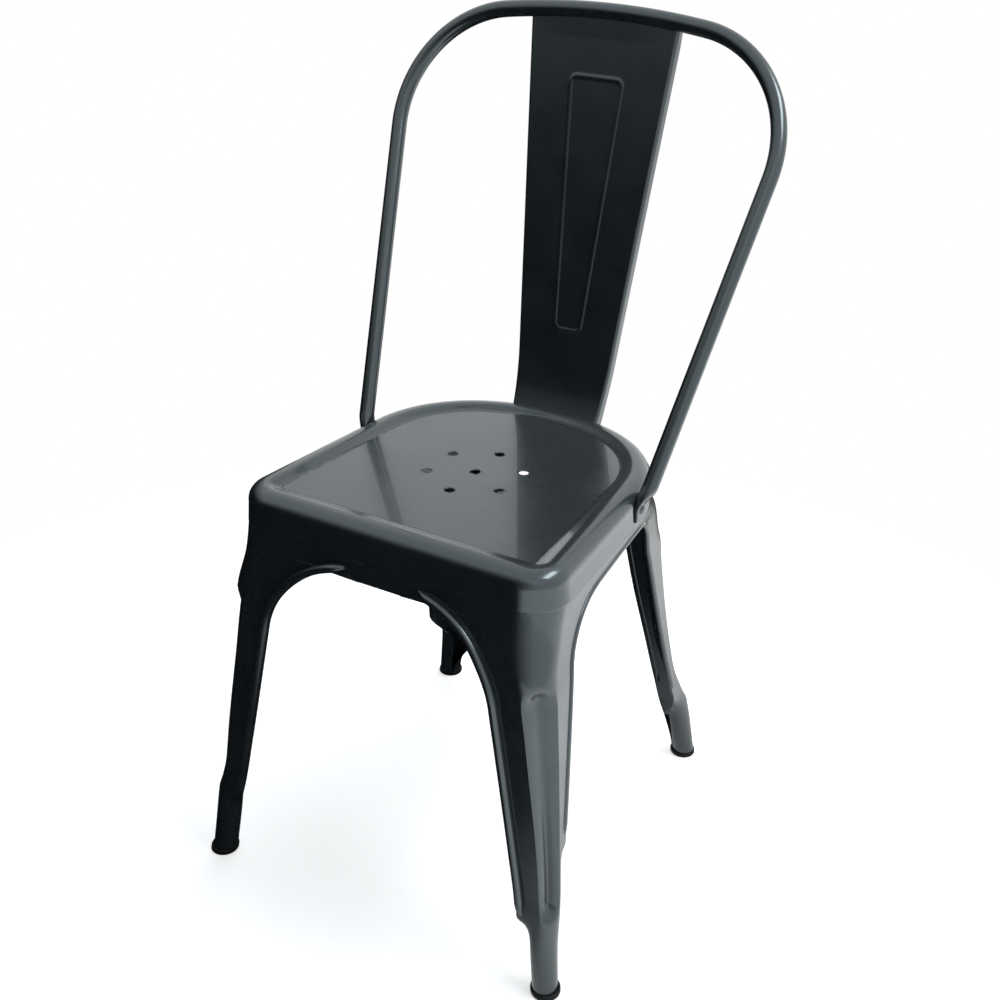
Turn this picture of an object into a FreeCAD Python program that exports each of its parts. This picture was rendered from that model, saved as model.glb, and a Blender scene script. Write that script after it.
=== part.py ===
import FreeCAD, Part
import math
import os

import Sketcher
from FreeCAD import Placement, Rotation, Vector

# A metal bistro chair of pressed sheet steel and bent tube. The front faces -Y, X points right as
# seen from the front, Y points to the back and Z points up. Right and left in the names are as seen
# from the front too. The origin is on the floor, in the middle of the chair's bounding box. All
# lengths are millimetres.

doc = FreeCAD.newDocument("BistroChair")
sizes = doc.addObject("Spreadsheet::Sheet", "Sizes")

DRIVING_SIZES = (
    # pressed sheet
    ("sheet", 1.2),
    ("clearance", 0.3),
    # seat pan
    ("seat_top", 448),
    ("seat_front", 183),
    ("seat_rear", 169),
    ("seat_half_front", 172.4),
    ("seat_half_rear", 162.8),
    ("seat_side_end", 35),
    ("seat_front_radius", 30),
    ("seat_rear_radius", 138),
    ("seat_skirt", 37),
    ("seat_overrun", 9),
    ("seat_rim_width", 23),
    ("seat_rim_rounding", 11),
    ("seat_recess", 6),
    ("seat_foot_rounding", 3),
    ("seat_lip_rounding", 2.8),
    ("drain_hole", 10),
    ("drain_circle", 98),
    ("drain_centre", 18),
    ("drain_count", 6),
    ("dent_plane", 162.2),
    ("dent_width", 27),
    ("dent_centre", 28),
    ("dent_top", 441),
    # feet on the floor
    ("front_foot_x", 208),
    ("front_foot_y", 222),
    ("front_lean", 0.14),
    ("front_tube_top", 60),
    ("rear_foot_x", 176),
    ("rear_foot_y", 208),
    ("rear_lean", 0.125),
    ("rear_tube_top", 48),
    ("foot_tube", 27),
    ("slit_angle", 4),
    ("cap_wall", 2),
    ("cap_height", 8),
    ("cap_floor", 4),
    # arches between the legs
    ("edge_height", 295),
    ("front_arch_top", 396.8),
    ("front_arch_radius", 103),
    ("front_edge", 131),
    ("front_edge_slope", 0.2),
    ("rear_arch_top", 392),
    ("rear_arch_radius", 72),
    ("rear_edge", 88.6),
    ("rear_edge_slope", 0.2),
    ("side_arch_top", 391),
    ("side_arch_rise", 0.06),
    ("side_front_edge", 144),
    ("side_front_slope", 0.28),
    ("side_front_radius", 75),
    ("side_curl_top", 167),
    ("side_curl_low", 140),
    ("side_rear_edge", 102.5),
    ("side_rear_slope", 0.3),
    ("side_rear_radius", 45),
    ("hem_width", 9),
    ("hem_height", 3.4),
    ("hem_gap", 30),
    # back hoop
    ("tube", 16),
    ("hoop_lean", 26),
    ("hoop_flare", 7.26),
    ("hoop_base_x", 168.9),
    ("hoop_base_z", 436),
    ("hoop_bend", 16),
    ("hoop_shoulder", 322.5),
    ("hoop_height", 459.5),
    ("hoop_radius", 116),
    ("plate_low", 414),
    ("plate_high", 426),
    ("plate_width", 22),
    ("plate_thick", 4.4),
    ("plate_gap", 0.1),
    ("rivet_height", 426),
    ("rivet_head", 12),
    ("rivet_shank", 6),
    ("rivet_rise", 2.6),
    ("rivet_tail", 1.5),
    ("rivet_tail_width", 9.6),
    # back splat
    ("splat_half_low", 56.6),
    ("splat_half_top", 81),
    ("splat_top", 838),
    ("splat_top_y", 226.6),
    ("splat_bend_z", 510),
    ("splat_bend_y", 170.5),
    ("splat_bend_radius", 260),
    ("splat_flange", 8),
    ("rib_width", 3.5),
    ("rib_height", 1.2),
    ("rib_top", 790),
    ("rib_half_top", 31),
    ("rib_low", 534),
    ("rib_half_low", 17),
    ("rib_corner", 6),
    # cross brace under the seat
    ("brace_width", 20),
    ("brace_thick", 2.5),
    ("brace_height", 416),
    ("brace_tab", 18),
    ("brace_front_x", 161.2),
    ("brace_front_y", 170.2),
    ("brace_rear_x", 116.6),
    ("brace_rear_y", 124),
)

# The outer skin of the legs is set level by level: height, front face, side face at the front corner,
# rear face, side face at the rear corner, front and rear corner radius, then the width of the front
# leg's flute, of the rear leg's flute, and their depth. The flute is pressed into the corner.
LEVEL_WORDS = ("height", "front", "side_front", "rear", "side_rear", "front_round", "rear_round",
               "front_flute", "rear_flute", "flute_depth")
LEG_LEVELS = (
    ("rim", (434, 181.5, 172.2, 166.6, 154.3, 28.5, 136, 36, 60, 0)),
    ("skirt", (411, 181.5, 172.2, 166.6, 154.3, 28.5, 136, 36, 60, 0)),
    ("shoulder", (382, 191, 177, 168.5, 145, 27, 85, 35, 60, 0)),
    ("knee", (348, 200, 182.5, 170.2, 143, 26, 60, 35, 60, 0)),
    ("shin", (324, 201.9, 186.3, 172.6, 145, 25, 47, 33, 58, 5)),
    ("calf", (250, 207, 195.5, 180, 152.5, 21, 41, 28, 54, 5)),
    ("taper", (160, 213.9, 205.8, 196, 163.5, 16.5, 38, 22, 50, 5)),
    ("hock", (112, 218.2, 210.6, 204.5, 171.5, 15.3, 22, 20, 27, 4)),
    ("ankle", (92, 222, 212.6, 208.5, 175.5, 15, 15, 18, 18, 0)),
)
for level, values in LEG_LEVELS:
    for word, value in zip(LEVEL_WORDS, values):
        DRIVING_SIZES += (("%s_%s" % (level, word), value),)

for row, (alias, value) in enumerate(DRIVING_SIZES, start=1):
    sizes.set("A%d" % row, alias)
    sizes.set("B%d" % row, str(value))
    sizes.setAlias("B%d" % row, alias)
doc.recompute()


def size(alias):
    """Return one driving dimension as a number."""
    return float(sizes.get(alias))


SHEET = size("sheet")
SEAT_TOP = size("seat_top")
FOOT_RADIUS = size("foot_tube") / 2
FAR = 400.0
UP = Vector(0, 0, 1)


def origin_plane(body, role):
    """Return the body's own origin plane with this role."""
    return [item for item in body.Origin.OriginFeatures if item.Role == role][0]


def plane_sketch(body, name, role, offset):
    """Return a new sketch on an origin plane, moved off it by an expression."""
    sketch = body.newObject("Sketcher::SketchObject", name)
    sketch.AttachmentSupport = [(origin_plane(body, role), "")]
    sketch.MapMode = "FlatFace"
    sketch.setExpression("AttachmentOffset.Base.z", offset)
    return sketch


def hold(sketch, values, expression):
    """Add a sketch dimension whose value follows an expression."""
    index = sketch.addConstraint(Sketcher.Constraint(*values))
    sketch.setExpression("Constraints[%d]" % index, expression)


def shaped(name, shape):
    """Add one sub-part whose shape is worked out from the sheet's sizes."""
    item = doc.addObject("Part::Feature", name)
    item.Label = name
    item.Shape = shape
    item.Placement = Placement()
    return item


def mirrored(shape):
    """Return the same piece on the left side of the chair."""
    return shape.mirror(Vector(0, 0, 0), Vector(1, 0, 0))


# The seat's plan outline
# A straight front edge, two rounded front corners, sides that draw in towards the back, and a rear
# made of three arcs. An inset above zero gives the same outline further in.

SIDE_DRAW = math.atan2(
    size("seat_half_front") - size("seat_half_rear"),
    size("seat_side_end") + size("seat_front") - size("seat_front_radius"),
)


def seat_outline(inset):
    """Return the points, centres and radii of the outline's right half."""
    out = Vector(math.cos(SIDE_DRAW), math.sin(SIDE_DRAW), 0)
    side_end = Vector(size("seat_half_rear"), size("seat_side_end"), 0) - out * inset
    front_radius = size("seat_front_radius") - inset
    rear_radius = size("seat_rear_radius") - inset
    front_y = inset - size("seat_front")
    rear_y = size("seat_rear") - inset
    centre_y = front_y + front_radius
    reach = side_end.dot(out) - front_radius
    front_centre = Vector((reach - centre_y * out.y) / out.x, centre_y, 0)
    rear_centre = side_end - out * rear_radius
    drop = rear_centre.y - rear_y
    back_radius = (rear_radius ** 2 - rear_centre.x ** 2 - drop ** 2) / (2 * (drop + rear_radius))
    back_centre = Vector(0, rear_y - back_radius, 0)
    back_way = (rear_centre - back_centre).normalize()
    return {
        "front": Vector(front_centre.x, front_y, 0),
        "front_centre": front_centre,
        "front_radius": front_radius,
        "side_start": front_centre + out * front_radius,
        "side_end": side_end,
        "rear_centre": rear_centre,
        "rear_radius": rear_radius,
        "back_centre": back_centre,
        "back_radius": back_radius,
        "back_angle": math.atan2(back_way.y, back_way.x),
    }


def left_of(point):
    """Return the point mirrored to the chair's left half."""
    return Vector(-point.x, point.y, point.z)


def arc(centre, radius, start, end):
    """Return a level arc of a circle from one angle to another."""
    return Part.ArcOfCircle(Part.Circle(centre, UP, radius), start, end)


def outline_sketch(body, name, height, inset, less):
    """Draw the seat outline, held by tangents, equal arcs and sizes bound to the sheet."""
    at = seat_outline(inset)
    sketch = plane_sketch(body, name, "XY_Plane", height)
    half_turn = math.pi
    side, back = SIDE_DRAW, at["back_angle"]
    sketch.addGeometry([
        Part.LineSegment(left_of(at["front"]), at["front"]),
        arc(at["front_centre"], at["front_radius"], -half_turn / 2, side),
        Part.LineSegment(at["side_start"], at["side_end"]),
        arc(at["rear_centre"], at["rear_radius"], side, back),
        arc(at["back_centre"], at["back_radius"], back, half_turn - back),
        arc(left_of(at["rear_centre"]), at["rear_radius"], half_turn - back, half_turn - side),
        Part.LineSegment(left_of(at["side_end"]), left_of(at["side_start"])),
        arc(left_of(at["front_centre"]), at["front_radius"], half_turn - side, 1.5 * half_turn),
    ], False)
    count = sketch.GeometryCount
    for index in range(count):
        after = (index + 1) % count
        sketch.addConstraint(Sketcher.Constraint("Tangent", index, 2, after, 1))
    sketch.addConstraint(Sketcher.Constraint("Symmetric", 0, 1, 0, 2, -2))
    sketch.addConstraint(Sketcher.Constraint("Symmetric", 2, 2, 6, 1, -2))
    sketch.addConstraint(Sketcher.Constraint("Equal", 1, 7))
    sketch.addConstraint(Sketcher.Constraint("Equal", 3, 5))
    hold(sketch, ("Radius", 1, at["front_radius"]), "Sizes.seat_front_radius - " + less)
    hold(sketch, ("Radius", 3, at["rear_radius"]), "Sizes.seat_rear_radius - " + less)
    hold(sketch, ("DistanceY", 0, 1, -1, 1, -at["front"].y), "Sizes.seat_front - " + less)
    sketch.addConstraint(Sketcher.Constraint("DistanceX", -1, 1, 2, 2, at["side_end"].x))
    sketch.addConstraint(Sketcher.Constraint("DistanceY", -1, 1, 2, 2, at["side_end"].y))
    return sketch


def level_edges(shape, height, closer=FAR):
    """Return the names of the edges that lie level at this height and near enough to the middle."""
    names = []
    for index, edge in enumerate(shape.Edges, start=1):
        box = edge.BoundBox
        level = abs(box.ZMin - height) < 0.01 and abs(box.ZMax - height) < 0.01
        if level and max(abs(box.XMax), abs(box.XMin)) < closer:
            names.append("Edge%d" % index)
    return names


def filleted(body, name, base, edges, radius):
    """Round edges of the body by a radius given by an expression."""
    fillet = body.newObject("PartDesign::Fillet", name)
    fillet.Base = (base, edges)
    fillet.setExpression("Radius", radius)
    doc.recompute()
    return fillet


def dent_sketch(body, name, skin):
    """Draw the flat pressed into the skirt for one end of the back hoop."""
    flat = plane_sketch(body, name, "YZ_Plane", "Sizes.dent_plane - %d * Sizes.sheet" % skin)
    half = size("dent_width") / 2 + skin * SHEET
    near = size("dent_centre") - half
    far = size("dent_centre") + half
    low = SEAT_TOP - size("seat_skirt") - size("seat_overrun")
    high = size("dent_top") + skin * SHEET
    corners = (Vector(near, low, 0), Vector(far, low, 0), Vector(far, high, 0), Vector(near, high, 0))
    for index, corner in enumerate(corners):
        flat.addGeometry(Part.LineSegment(corner, corners[(index + 1) % 4]), False)
    for index in range(4):
        flat.addConstraint(Sketcher.Constraint("Coincident", index, 2, (index + 1) % 4, 1))
    for index in (0, 2):
        flat.addConstraint(Sketcher.Constraint("Horizontal", index))
        flat.addConstraint(Sketcher.Constraint("Vertical", index + 1))
    reach = "(Sizes.dent_width / 2 + %d * Sizes.sheet)" % skin
    hold(flat, ("DistanceX", -1, 1, 0, 1, near), "Sizes.dent_centre - " + reach)
    hold(flat, ("DistanceX", -1, 1, 0, 2, far), "Sizes.dent_centre + " + reach)
    hold(flat, ("DistanceY", -1, 1, 2, 1, high), "Sizes.dent_top + %d * Sizes.sheet" % skin)
    hold(flat, ("DistanceY", -1, 1, 0, 1, low), "Sizes.seat_top - Sizes.seat_skirt - Sizes.seat_overrun")
    return flat


def seat_form(name, skin):
    """Shape the pan's outside surface as a solid (skin 0), or its inside surface (skin 1)."""
    body = doc.addObject("PartDesign::Body", name)
    in_by = "%d * Sizes.sheet" % skin
    inset = skin * SHEET
    top = SEAT_TOP - inset

    block = body.newObject("PartDesign::Pad", name + "Block")
    overrun = "%d * Sizes.seat_overrun" % skin
    low = "Sizes.seat_top - Sizes.seat_skirt - " + overrun
    block.Profile = outline_sketch(body, name + "Outline", low, inset, in_by)
    block.setExpression("Length", "Sizes.seat_skirt + %s - %s" % (overrun, in_by))
    doc.recompute()
    rounding = "Sizes.seat_rim_rounding - " + in_by
    rim = filleted(body, name + "Rim", block, level_edges(block.Shape, top), rounding)

    recess = body.newObject("PartDesign::Pocket", name + "Recess")
    rim_width = "(Sizes.seat_rim_width - %s)" % in_by
    recess.Profile = outline_sketch(body, name + "RecessOutline", "Sizes.seat_top - " + in_by,
                                    size("seat_rim_width") - inset, rim_width)
    recess.setExpression("Length", "Sizes.seat_recess")
    doc.recompute()
    inner = size("seat_half_front") - size("seat_rim_width") + inset + 1
    foot = filleted(body, name + "RecessFoot", recess,
                    level_edges(recess.Shape, top - size("seat_recess")),
                    "Sizes.seat_foot_rounding + " + in_by)
    filleted(body, name + "RecessLip", foot, level_edges(foot.Shape, top, inner),
             "Sizes.seat_lip_rounding - " + in_by)

    dent = body.newObject("PartDesign::Pocket", name + "RightDent")
    dent.Profile = dent_sketch(body, name + "DentOutline", skin)
    dent.Type = "ThroughAll"
    dent.Reversed = True
    doc.recompute()
    dents = body.newObject("PartDesign::Mirrored", name + "LeftDent")
    dents.Originals = [dent]
    dents.MirrorPlane = (origin_plane(body, "YZ_Plane"), [""])
    body.Tip = dents
    doc.recompute()
    return body, rim


def drain_sketch(body, name, away):
    """Draw one drain hole, this far in front of the middle hole."""
    hole = plane_sketch(body, name, "XY_Plane", "Sizes.seat_top")
    hole.setExpression("AttachmentOffset.Base.y", "-Sizes.drain_centre")
    circle = Part.Circle(Vector(0, -away, 0), UP, size("drain_hole") / 2)
    hole.addGeometry(circle, False)
    hold(hole, ("Diameter", 0, size("drain_hole")), "Sizes.drain_hole")
    hole.addConstraint(Sketcher.Constraint("PointOnObject", 0, 3, -2))
    if away:
        hold(hole, ("DistanceY", 0, 3, -1, 1, away), "Sizes.drain_circle / 2")
    else:
        hole.addConstraint(Sketcher.Constraint("PointOnObject", 0, 3, -1))
    return hole


def drain_holes(body):
    """Pierce the middle hole and the ring of holes round it."""
    middle = body.newObject("PartDesign::Pocket", "MiddleDrain")
    middle.Profile = drain_sketch(body, "MiddleDrainOutline", 0)
    middle.Type = "ThroughAll"
    doc.recompute()
    hole = body.newObject("PartDesign::Pocket", "FrontDrain")
    hole.Profile = drain_sketch(body, "FrontDrainOutline", size("drain_circle") / 2)
    hole.Type = "ThroughAll"
    doc.recompute()
    ring = body.newObject("PartDesign::PolarPattern", "DrainRing")
    ring.Originals = [hole]
    ring.Axis = (hole.Profile[0], ["N_Axis"])
    ring.Angle = 360
    ring.setExpression("Occurrences", "Sizes.drain_count")
    body.Tip = ring
    doc.recompute()


def rivet_holes():
    """Add the round bar that cuts both rivet holes, from one side of the skirt to the other."""
    bar = doc.addObject("Part::Cylinder", "rivet_holes")
    bar.setExpression("Radius", "Sizes.rivet_shank / 2")
    bar.setExpression("Height", "4 * Sizes.dent_plane")
    bar.setExpression("Placement.Base.x", "-2 * Sizes.dent_plane")
    bar.setExpression("Placement.Base.y", "Sizes.dent_centre")
    bar.setExpression("Placement.Base.z", "Sizes.rivet_height")
    bar.Placement.Rotation = Rotation(Vector(0, 1, 0), 90)
    return bar


def seat_pan():
    """Press the seat: the outside surface, pierced, less the inside surface one sheet in."""
    outside, rim = seat_form("SeatOutside", 0)
    drain_holes(outside)
    inside = seat_form("SeatInside", 1)[0]
    tools = doc.addObject("Part::MultiFuse", "SeatTools")
    tools.Shapes = [inside, rivet_holes()]
    pan = doc.addObject("Part::Cut", "seat_pan")
    pan.Label = "seat_pan"
    pan.Base = outside
    pan.Tool = tools
    doc.recompute()
    return pan, rim.Shape.copy()


def rounded(points, radii):
    """Return the closed wire through these corners, each rounded by its radius (0 stays sharp)."""
    count = len(points)
    starts = []
    ends = []
    edges = []
    for index, corner in enumerate(points):
        radius = radii[index]
        to_last = (points[index - 1] - corner).normalize()
        to_next = (points[(index + 1) % count] - corner).normalize()
        half = to_last.getAngle(to_next) / 2
        starts.append(corner + to_last * (radius / math.tan(half)))
        ends.append(corner + to_next * (radius / math.tan(half)))
        if radius:
            inward = (to_last + to_next).normalize()
            middle = corner + inward * (radius / math.sin(half) - radius)
            edges.append(Part.Arc(starts[-1], middle, ends[-1]).toShape())
    for index in range(count):
        edges.append(Part.makeLine(ends[index], starts[(index + 1) % count]))
    return Part.Wire(Part.__sortEdges__(edges))


def prism(wire, way):
    """Return the solid swept by a closed flat wire along a vector."""
    return Part.Face(wire).extrude(way)


# Legs
# Each leg is one pressing: an arm across the front or rear, an arm along the side and a rounded
# corner with a flute between them, curled into a round tube at the ankle.

LEVELS = {}
for level, values in LEG_LEVELS:
    LEVELS[level] = {word: size("%s_%s" % (level, word)) for word in LEVEL_WORDS}


class Corner:
    """The round corner of one leg at one level, seen from above."""

    def __init__(self, centre, radius, start_way, end_way, flute_width, flute_depth):
        self.centre = centre
        self.radius = radius
        self.start_way = start_way
        self.turn = start_way.getAngle(end_way)
        across = end_way - start_way * start_way.dot(end_way)
        self.across = across.normalize()
        self.reach = math.asin(flute_width / 2 / radius)
        self.dip = 0.0
        if flute_depth:
            self.dip = radius * (1 - math.cos(self.reach)) + flute_depth

    def way(self, angle):
        """Return the outward direction this far round from the first face."""
        return self.start_way * math.cos(angle) + self.across * math.sin(angle)

    def at(self, angle, deep):
        """Return the point of the skin there, this deep below the outer surface."""
        return self.centre + self.way(angle) * (self.radius - deep)

    def edges(self, deep):
        """Return the corner's three arcs: round, flute, round."""
        middle = self.turn / 2
        low, high = middle - self.reach, middle + self.reach
        flute = self.at(middle, deep + self.dip)
        return (
            Part.Arc(self.at(0, deep), self.at(low / 2, deep), self.at(low, deep)),
            Part.Arc(self.at(low, deep), flute, self.at(high, deep)),
            Part.Arc(self.at(high, deep), self.at((high + self.turn) / 2, deep),
                     self.at(self.turn, deep)),
        )


def corner_at(end, level):
    """Return the leg corner where a front or rear face meets the side face."""
    height = level["height"]
    front = Vector(level["side_front"], -level["front"], height)
    rear = Vector(level["side_rear"], level["rear"], height)
    tip, other = (front, rear) if end == "front" else (rear, front)
    across = Vector(-1, 0, 0)
    along = (other - tip).normalize()
    half = across.getAngle(along) / 2
    radius = level[end + "_round"]
    centre = tip + (across + along).normalize() * (radius / math.sin(half))
    start = tip + across * (radius / math.tan(half))
    finish = tip + along * (radius / math.tan(half))
    return Corner(centre, radius, (start - centre).normalize(), (finish - centre).normalize(),
                  level[end + "_flute"], level["flute_depth"])


def closed_section(outer, inner, outer_ends, inner_ends):
    """Join an outer and an inner path of edges into one closed sheet section."""
    edges = [curve.toShape() for curve in outer]
    edges.append(Part.makeLine(outer_ends[1], inner_ends[1]))
    for curve in reversed(inner):
        edge = curve.toShape()
        edge.reverse()
        edges.append(edge)
    edges.append(Part.makeLine(inner_ends[0], outer_ends[0]))
    return Part.Wire(edges)


def arm_section(end, level, first_x, last_y):
    """Return the leg's section where both arms are flat, cut off at an x and a y."""
    corner = corner_at(end, level)
    paths = []
    ends = []
    for deep in (0, SHEET):
        start = corner.at(0, deep)
        finish = corner.at(corner.turn, deep)
        along = corner.way(corner.turn).cross(UP)
        first = Vector(first_x, start.y, start.z)
        last = finish + along * ((last_y - finish.y) / along.y)
        paths.append((Part.LineSegment(first, start),) + corner.edges(deep)
                     + (Part.LineSegment(finish, last),))
        ends.append((first, last))
    return closed_section(paths[0], paths[1], ends[0], ends[1])


def tube_centre(end, height):
    """Return the middle of a leg's round foot at this height."""
    x = size(end + "_foot_x") - size(end + "_lean") * height
    y = size(end + "_foot_y") - size(end + "_lean") * height
    return Vector(x, -y if end == "front" else y, height)


def tube_section(end, height):
    """Return the leg's section where the arms have curled in to a tube with a narrow slit."""
    face = Vector(0, -1 if end == "front" else 1, 0)
    corner = Corner(tube_centre(end, height), FOOT_RADIUS, face, Vector(1, 0, 0), FOOT_RADIUS, 0)
    reach = math.pi - corner.turn / 2 - math.radians(size("slit_angle"))
    paths = []
    ends = []
    for deep in (0, SHEET):
        first = corner.at(-reach, deep)
        last = corner.at(corner.turn + reach, deep)
        paths.append((Part.Arc(first, corner.at(-reach / 2, deep), corner.at(0, deep)),)
                     + corner.edges(deep)
                     + (Part.Arc(corner.at(corner.turn, deep),
                                 corner.at(corner.turn + reach / 2, deep), last),))
        ends.append((first, last))
    return closed_section(paths[0], paths[1], ends[0], ends[1])


# Arches
# The legs' inner edges run straight up and turn over into a nearly level top. Each outline also
# serves, grown by the hem's width, to lay the rolled hem along the edge.


def edge_line(place, slope, height):
    """Return how far out a leg's inner edge stands at this height."""
    return place + slope * (size("edge_height") - height)


def tube_edge(end, height):
    """Return how far out the inner side of a round foot stands at this height, along y."""
    return size(end + "_foot_y") - size(end + "_lean") * height - FOOT_RADIUS


def cross_arch(end):
    """Return the outline between the two front legs or the two rear legs, in the plane y = 0."""
    top = size(end + "_arch_top")
    place = size(end + "_edge")
    slope = size(end + "_edge_slope")
    radius = size(end + "_arch_radius")
    low = size(end + "_tube_top")
    wide = edge_line(place, slope, low)
    narrow = edge_line(place, slope, top)
    points = [Vector(-wide, 0, low), Vector(wide, 0, low), Vector(narrow, 0, top),
              Vector(-narrow, 0, top)]
    return rounded(points, (0, 0, radius, radius))


def side_arch():
    """Return the outline between a front leg and a rear leg, in the plane x = 0."""
    level = size("side_arch_top")
    rise = size("side_arch_rise")
    low = size("front_tube_top")
    curl_top = size("side_curl_top")
    curl_low = size("side_curl_low")
    front = -edge_line(size("side_front_edge"), size("side_front_slope"), level)
    rear = edge_line(size("side_rear_edge"), size("side_rear_slope"), level)
    front_y = front / (1 - rise * size("side_front_slope"))
    rear_y = rear / (1 + rise * size("side_rear_slope"))
    points = [
        Vector(0, -edge_line(size("side_front_edge"), size("side_front_slope"), curl_top), curl_top),
        Vector(0, -tube_edge("front", curl_low), curl_low),
        Vector(0, -tube_edge("front", low), low),
        Vector(0, edge_line(size("side_rear_edge"), size("side_rear_slope"), low), low),
        Vector(0, rear_y, level + rise * rear_y),
        Vector(0, front_y, level + rise * front_y),
    ]
    return rounded(points, (0, 0, 0, 0, size("side_rear_radius"), size("side_front_radius")))


def face_slab(end):
    """Return a slab that follows the front or rear face and stands proud of it by the hem."""
    sign = -1 if end == "front" else 1
    first = size("hem_gap") if end == "front" else 0
    outer = []
    inner = []
    for level in LEVELS.values():
        outer.append(Vector(first, sign * (level[end] + size("hem_height")), level["height"]))
        inner.append(Vector(first, sign * (level[end] - SHEET / 2), level["height"]))
    points = outer + inner[::-1]
    return prism(Part.makePolygon(points + points[:1]), Vector(FAR / 2, 0, 0))


def side_slab(near, far):
    """Return a slab that follows the side face from one y to another, proud by the hem."""
    wires = []
    for level in LEVELS.values():
        slope = (level["side_rear"] - level["side_front"]) / (level["rear"] + level["front"])
        points = []
        for y, out in ((near, -SHEET / 2), (far, -SHEET / 2), (far, 1), (near, 1)):
            x = level["side_front"] + slope * (y + level["front"])
            points.append(Vector(x + (size("hem_height") if out > 0 else out), y, level["height"]))
        wires.append(Part.makePolygon(points + points[:1]))
    return Part.makeLoft(wires, True, True)


def leg(end):
    """Form the right-hand front or rear leg."""
    sign = -1 if end == "front" else 1
    ankle = LEVELS["ankle"]
    upper = Part.makeLoft([arm_section(end, level, 0, 0) for level in LEVELS.values()], True, True)

    cross = cross_arch(end)
    side = side_arch()
    hem = size("hem_width")
    cross_way = Vector(0, sign * FAR, 0)
    side_way = Vector(FAR, 0, 0)
    cross_hem = face_slab(end).common(prism(cross.makeOffset2D(hem), cross_way))
    slab = side_slab(0, FAR / 2) if end == "rear" else side_slab(-FAR / 2, 0)
    side_hem = slab.common(prism(side.makeOffset2D(hem), side_way))
    upper = upper.fuse([cross_hem, side_hem])
    upper = upper.cut([prism(cross, cross_way), prism(side, side_way)])

    first_x = edge_line(size(end + "_edge"), size(end + "_edge_slope"), ankle["height"])
    last_y = -tube_edge("front", ankle["height"])
    if end == "rear":
        last_y = edge_line(size("side_rear_edge"), size("side_rear_slope"), ankle["height"])
    lower = Part.makeLoft([
        arm_section(end, ankle, first_x, last_y),
        tube_section(end, size(end + "_tube_top")),
        tube_section(end, size("cap_floor")),
    ], True, True)
    whole = upper.fuse(lower)
    if end == "rear":
        # the leg stops short of the flats pressed into the seat's skirt
        half = size("dent_width") / 2 + 2 * SHEET
        low = SEAT_TOP - size("seat_skirt") - SHEET
        corner = Vector(size("dent_plane") - 2 * SHEET - size("clearance"),
                        size("dent_centre") - half, low)
        whole = whole.cut(Part.makeBox(FAR, 2 * half, FAR, corner))
    return whole


# Back hoop
# One tube in a plane that leans back: two straight sides that spread upwards, two round corners and
# a shallow top arc. Each end is pressed flat and stands upright against the seat's skirt.

LEAN = math.radians(size("hoop_lean"))
FLARE = math.radians(size("hoop_flare"))
TUBE_RADIUS = size("tube") / 2


def in_hoop(across, along):
    """Return the point this far across and along the hoop's leaning plane."""
    base = Vector(0, size("dent_centre"), size("hoop_base_z"))
    return base + Vector(across, along * math.sin(LEAN), along * math.cos(LEAN))


def oblong(centre, wide_way, thin_way, half_wide, half_thin):
    """Return a round-ended outline of two flats and two round ends."""
    spread = half_wide - half_thin
    slant = half_thin * math.sqrt(0.5) if spread < 0.01 else half_thin
    side = half_thin * math.sqrt(0.5) if spread < 0.01 else 0.0
    top = thin_way * slant
    right = wide_way * (spread + side)
    corners = (centre + right - top, centre + right + top, centre - right + top,
               centre - right - top)
    edges = [Part.Arc(corners[0], centre + wide_way * half_wide, corners[1]).toShape()]
    if side:
        edges.append(Part.Arc(corners[1], centre + thin_way * half_thin, corners[2]).toShape())
    else:
        edges.append(Part.makeLine(corners[1], corners[2]))
    edges.append(Part.Arc(corners[2], centre - wide_way * half_wide, corners[3]).toShape())
    if side:
        edges.append(Part.Arc(corners[3], centre - thin_way * half_thin, corners[0]).toShape())
    else:
        edges.append(Part.makeLine(corners[3], corners[0]))
    return Part.Wire(edges)


def hoop_path():
    """Return the centre line from the right-hand bend over the top to the left-hand bend."""
    radius = size("hoop_radius")
    top = size("hoop_height")
    first = size("hoop_bend")
    last = size("hoop_shoulder")
    foot_x = size("hoop_base_x")
    turn_x = foot_x + last * math.tan(FLARE) - radius * math.cos(FLARE)
    turn_v = last + radius * math.sin(FLARE)
    drop = turn_v - top
    top_radius = (radius ** 2 - turn_x ** 2 - drop ** 2) / (2 * (drop + radius))
    join = math.atan2(turn_v - top + top_radius, turn_x)
    middle = (join - FLARE) / 2

    def on_turn(angle):
        return turn_x + radius * math.cos(angle), turn_v + radius * math.sin(angle)

    right = [
        (foot_x + first * math.tan(FLARE), first),
        on_turn(-FLARE),
        on_turn(middle),
        on_turn(join),
    ]
    left = [(-across, along) for across, along in right]
    spots = [in_hoop(*spot) for spot in right]
    others = [in_hoop(*spot) for spot in left]
    return Part.Wire([
        Part.makeLine(spots[0], spots[1]),
        Part.Arc(spots[1], spots[2], spots[3]).toShape(),
        Part.Arc(spots[3], in_hoop(0, top), others[3]).toShape(),
        Part.Arc(others[3], others[2], others[1]).toShape(),
        Part.makeLine(others[1], others[0]),
    ])


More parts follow.
